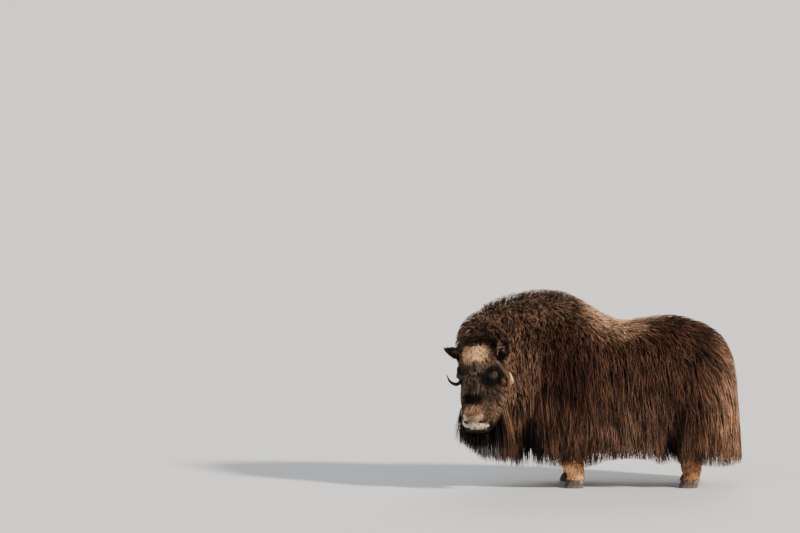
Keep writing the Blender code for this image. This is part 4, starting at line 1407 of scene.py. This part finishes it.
# %% Shape of a horn
HORN_LINE = [
    # a, b and c in the head's frame, from root to tip
    (0.070, 0.045, 0.040), (0.112, 0.080, 0.014), (0.127, 0.113, -0.040), (0.142, 0.148, -0.070),
    (0.170, 0.180, -0.056), (0.195, 0.171, -0.020), (0.200, 0.136, 0.026),
]
# Share of the way along, radius
HORN_RADIUS = np.array([
    (0, 0.0180), (0.25, 0.0160), (0.5, 0.0138), (0.7, 0.0106), (0.85, 0.0068), (1, 0.0018),
])
RING_DEPTH = 0.022
FAR_PALENESS_IN_SHADE = 0.12
HORN_STEPS = 90
HORN_SIDES = 28


def smooth_line(corners, steps):
    """Points of a smooth line through the corners, evenly spaced."""
    knots = np.array(corners, dtype=float)
    padded = np.vstack([2 * knots[0] - knots[1], knots, 2 * knots[-1] - knots[-2]])
    made = []
    for p0, p1, p2, p3 in zip(padded, padded[1:], padded[2:], padded[3:]):
        for t in np.linspace(0, 1, 24, endpoint=False):
            made.append(0.5 * (2 * p1 + (p2 - p0) * t + (2 * p0 - 5 * p1 + 4 * p2 - p3) * t**2
                               + (3 * p1 - p0 - 3 * p2 + p3) * t**3))
    made = np.array(made + [knots[-1]])
    arc = np.concatenate([[0], np.linalg.norm(np.diff(made, axis=0), axis=1).cumsum()])
    even = np.linspace(0, arc[-1], steps)
    return np.stack([np.interp(even, arc, made[:, axis]) for axis in range(3)], axis=1)


def build_horn(side):
    """One horn, with an attribute that says how pale each point is, kept low on the far horn as painted
    shade.
    """
    line = smooth_line([(side * a, b, c) for a, b, c in HORN_LINE], HORN_STEPS)
    t = np.linspace(0, 1, HORN_STEPS)
    radius = np.interp(t, *HORN_RADIUS.T)
    radius *= 1 + RING_DEPTH * np.sin(t * 78 + 2 * np.sin(t * 17)) * (1 - ramp(t, 0.35, 0.75))
    radius[-1] *= 0.25
    bpy.ops.object.select_all(action="DESELECT")
    bpy.ops.curve.primitive_nurbs_path_add(location=(0, 0, 0))
    horn = bpy.context.object
    horn.name = "horn_left_hook" if side > 0 else "horn_right_hook"
    horn.data.splines.clear()
    spline = horn.data.splines.new("POLY")
    spline.points.add(HORN_STEPS - 1)
    for point, place, size in zip(spline.points, line.tolist(), radius):
        point.co = (*on_head(*place), 1)
        point.radius = size
    horn.data.bevel_depth = 1.0
    horn.data.bevel_resolution = HORN_SIDES // 4 - 2
    horn.data.use_fill_caps = True
    horn.data.twist_mode = "MINIMUM"
    select_only(horn)
    bpy.ops.object.convert(target="MESH")
    horn = bpy.context.object
    points = points_of(horn.data)
    world_line = np.array([on_head(*place)[:] for place in line.tolist()])
    nearest = np.array([np.argmin(((world_line - point) ** 2).sum(1)) for point in points])
    # The far horn keeps only its dark colours, as painted shade.
    pale = t[nearest] if side > 0 else t[nearest] * FAR_PALENESS_IN_SHADE
    horn.data.attributes.new("pale", "FLOAT", "POINT").data.foreach_set("value", pale.astype(np.float32))
    select_only(horn)
    bpy.ops.object.mode_set(mode="EDIT")
    bpy.ops.mesh.select_all(action="SELECT")
    bpy.ops.mesh.remove_doubles(threshold=1e-6)
    bpy.ops.mesh.normals_make_consistent(inside=False)
    bpy.ops.object.mode_set(mode="OBJECT")
    bpy.ops.object.shade_smooth()
    return horn


horns = {"horn_left": build_horn(1), "horn_right": build_horn(-1)}
print("each horn has", triangles_in(horns["horn_left"]), "triangles")

# %% [markdown]
# The near horn is dark at the base and cream along its hook, and the far one stays dark as painted shade.
# The attribute that was stored with each horn says how far along a point lies, and so how pale it is;
# on the far horn it is scaled down for that painted shade.

# %% Horn finish
horn_finish, tree, shader = new_material("horn")
along = put(tree, "ShaderNodeAttribute", attribute_name="pale").outputs["Fac"]
place = put(tree, "ShaderNodeTexCoord").outputs["Object"]
grain = put(tree, "ShaderNodeTexNoise", {"Vector": place, "Scale": 160.0, "Detail": 5.0, "Roughness": 0.6})
uneven = math_node(tree, "ADD", along, math_node(tree, "MULTIPLY", grain.outputs["Fac"], 0.12))
horn_colour = mix_colour(tree, grain.outputs["Fac"], (0.012, 0.008, 0.006, 1), (0.072, 0.040, 0.022, 1))
horn_colour = mix_colour(tree, smooth_range(tree, uneven, 0.22, 0.42), horn_colour, (0.062, 0.034, 0.018, 1))
horn_colour = mix_colour(tree, smooth_range(tree, uneven, 0.62, 0.80), horn_colour, (0.54, 0.30, 0.125, 1))
horn_colour = mix_colour(tree, smooth_range(tree, uneven, 0.80, 0.98), horn_colour, (0.90, 0.60, 0.30, 1))
tree.links.new(horn_colour, shader.inputs["Base Color"])
bump = put(tree, "ShaderNodeBump", {"Height": grain.outputs["Fac"], "Strength": 0.5, "Distance": 0.0008})
tree.links.new(bump.outputs[0], shader.inputs["Normal"])
tree.links.new(smooth_range(tree, grain.outputs["Fac"], 0.3, 0.7, 0.40, 0.58), shader.inputs["Roughness"])
shader.inputs["Specular IOR Level"].default_value = 0.22
for name, horn in horns.items():
    horn.data.materials.clear()
    horn.data.materials.append(horn_finish)
    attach(horn, "root")
    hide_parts(name)
print("horn finish has", len(tree.nodes), "nodes")

# %% [markdown]
# The hooves keep the frame's own solids, whose shape is right. They get a finish of dark horn,
# with fine level growth lines, scuffed paler towards the ground.

# %% Hooves
LEVEL_LINES = (30.0, 30.0, 420.0)
hoof_finish, tree, shader = new_material("hoof")
place = put(tree, "ShaderNodeTexCoord").outputs["Object"]
height = put(tree, "ShaderNodeSeparateXYZ", {0: place}).outputs[2]
stretched = put(tree, "ShaderNodeVectorMath", {0: place, 1: LEVEL_LINES}, operation="MULTIPLY").outputs[0]
lines = put(tree, "ShaderNodeTexNoise", {"Vector": stretched, "Scale": 1.0, "Detail": 4.0})
scuffs = put(tree, "ShaderNodeTexNoise", {"Vector": place, "Scale": 90.0, "Detail": 5.0})
hoof_colour = mix_colour(tree, lines.outputs["Fac"], (0.020, 0.015, 0.012, 1), (0.085, 0.066, 0.052, 1))
worn = math_node(tree, "MULTIPLY", smooth_range(tree, height, 0.0, 0.022, 0.75, 0.05), scuffs.outputs["Fac"])
tree.links.new(mix_colour(tree, worn, hoof_colour, (0.24, 0.20, 0.16, 1)), shader.inputs["Base Color"])
bump = put(tree, "ShaderNodeBump", {"Height": lines.outputs["Fac"], "Strength": 0.6, "Distance": 0.0010})
tree.links.new(bump.outputs[0], shader.inputs["Normal"])
tree.links.new(smooth_range(tree, scuffs.outputs["Fac"], 0.3, 0.7, 0.38, 0.66), shader.inputs["Roughness"])
hooves = [node for key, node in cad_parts.items() if key.startswith("hoof_")]
for hoof in hooves:
    hoof.data.materials.clear()
    hoof.data.materials.append(hoof_finish)
print(len(hooves), "hooves keep their solids")
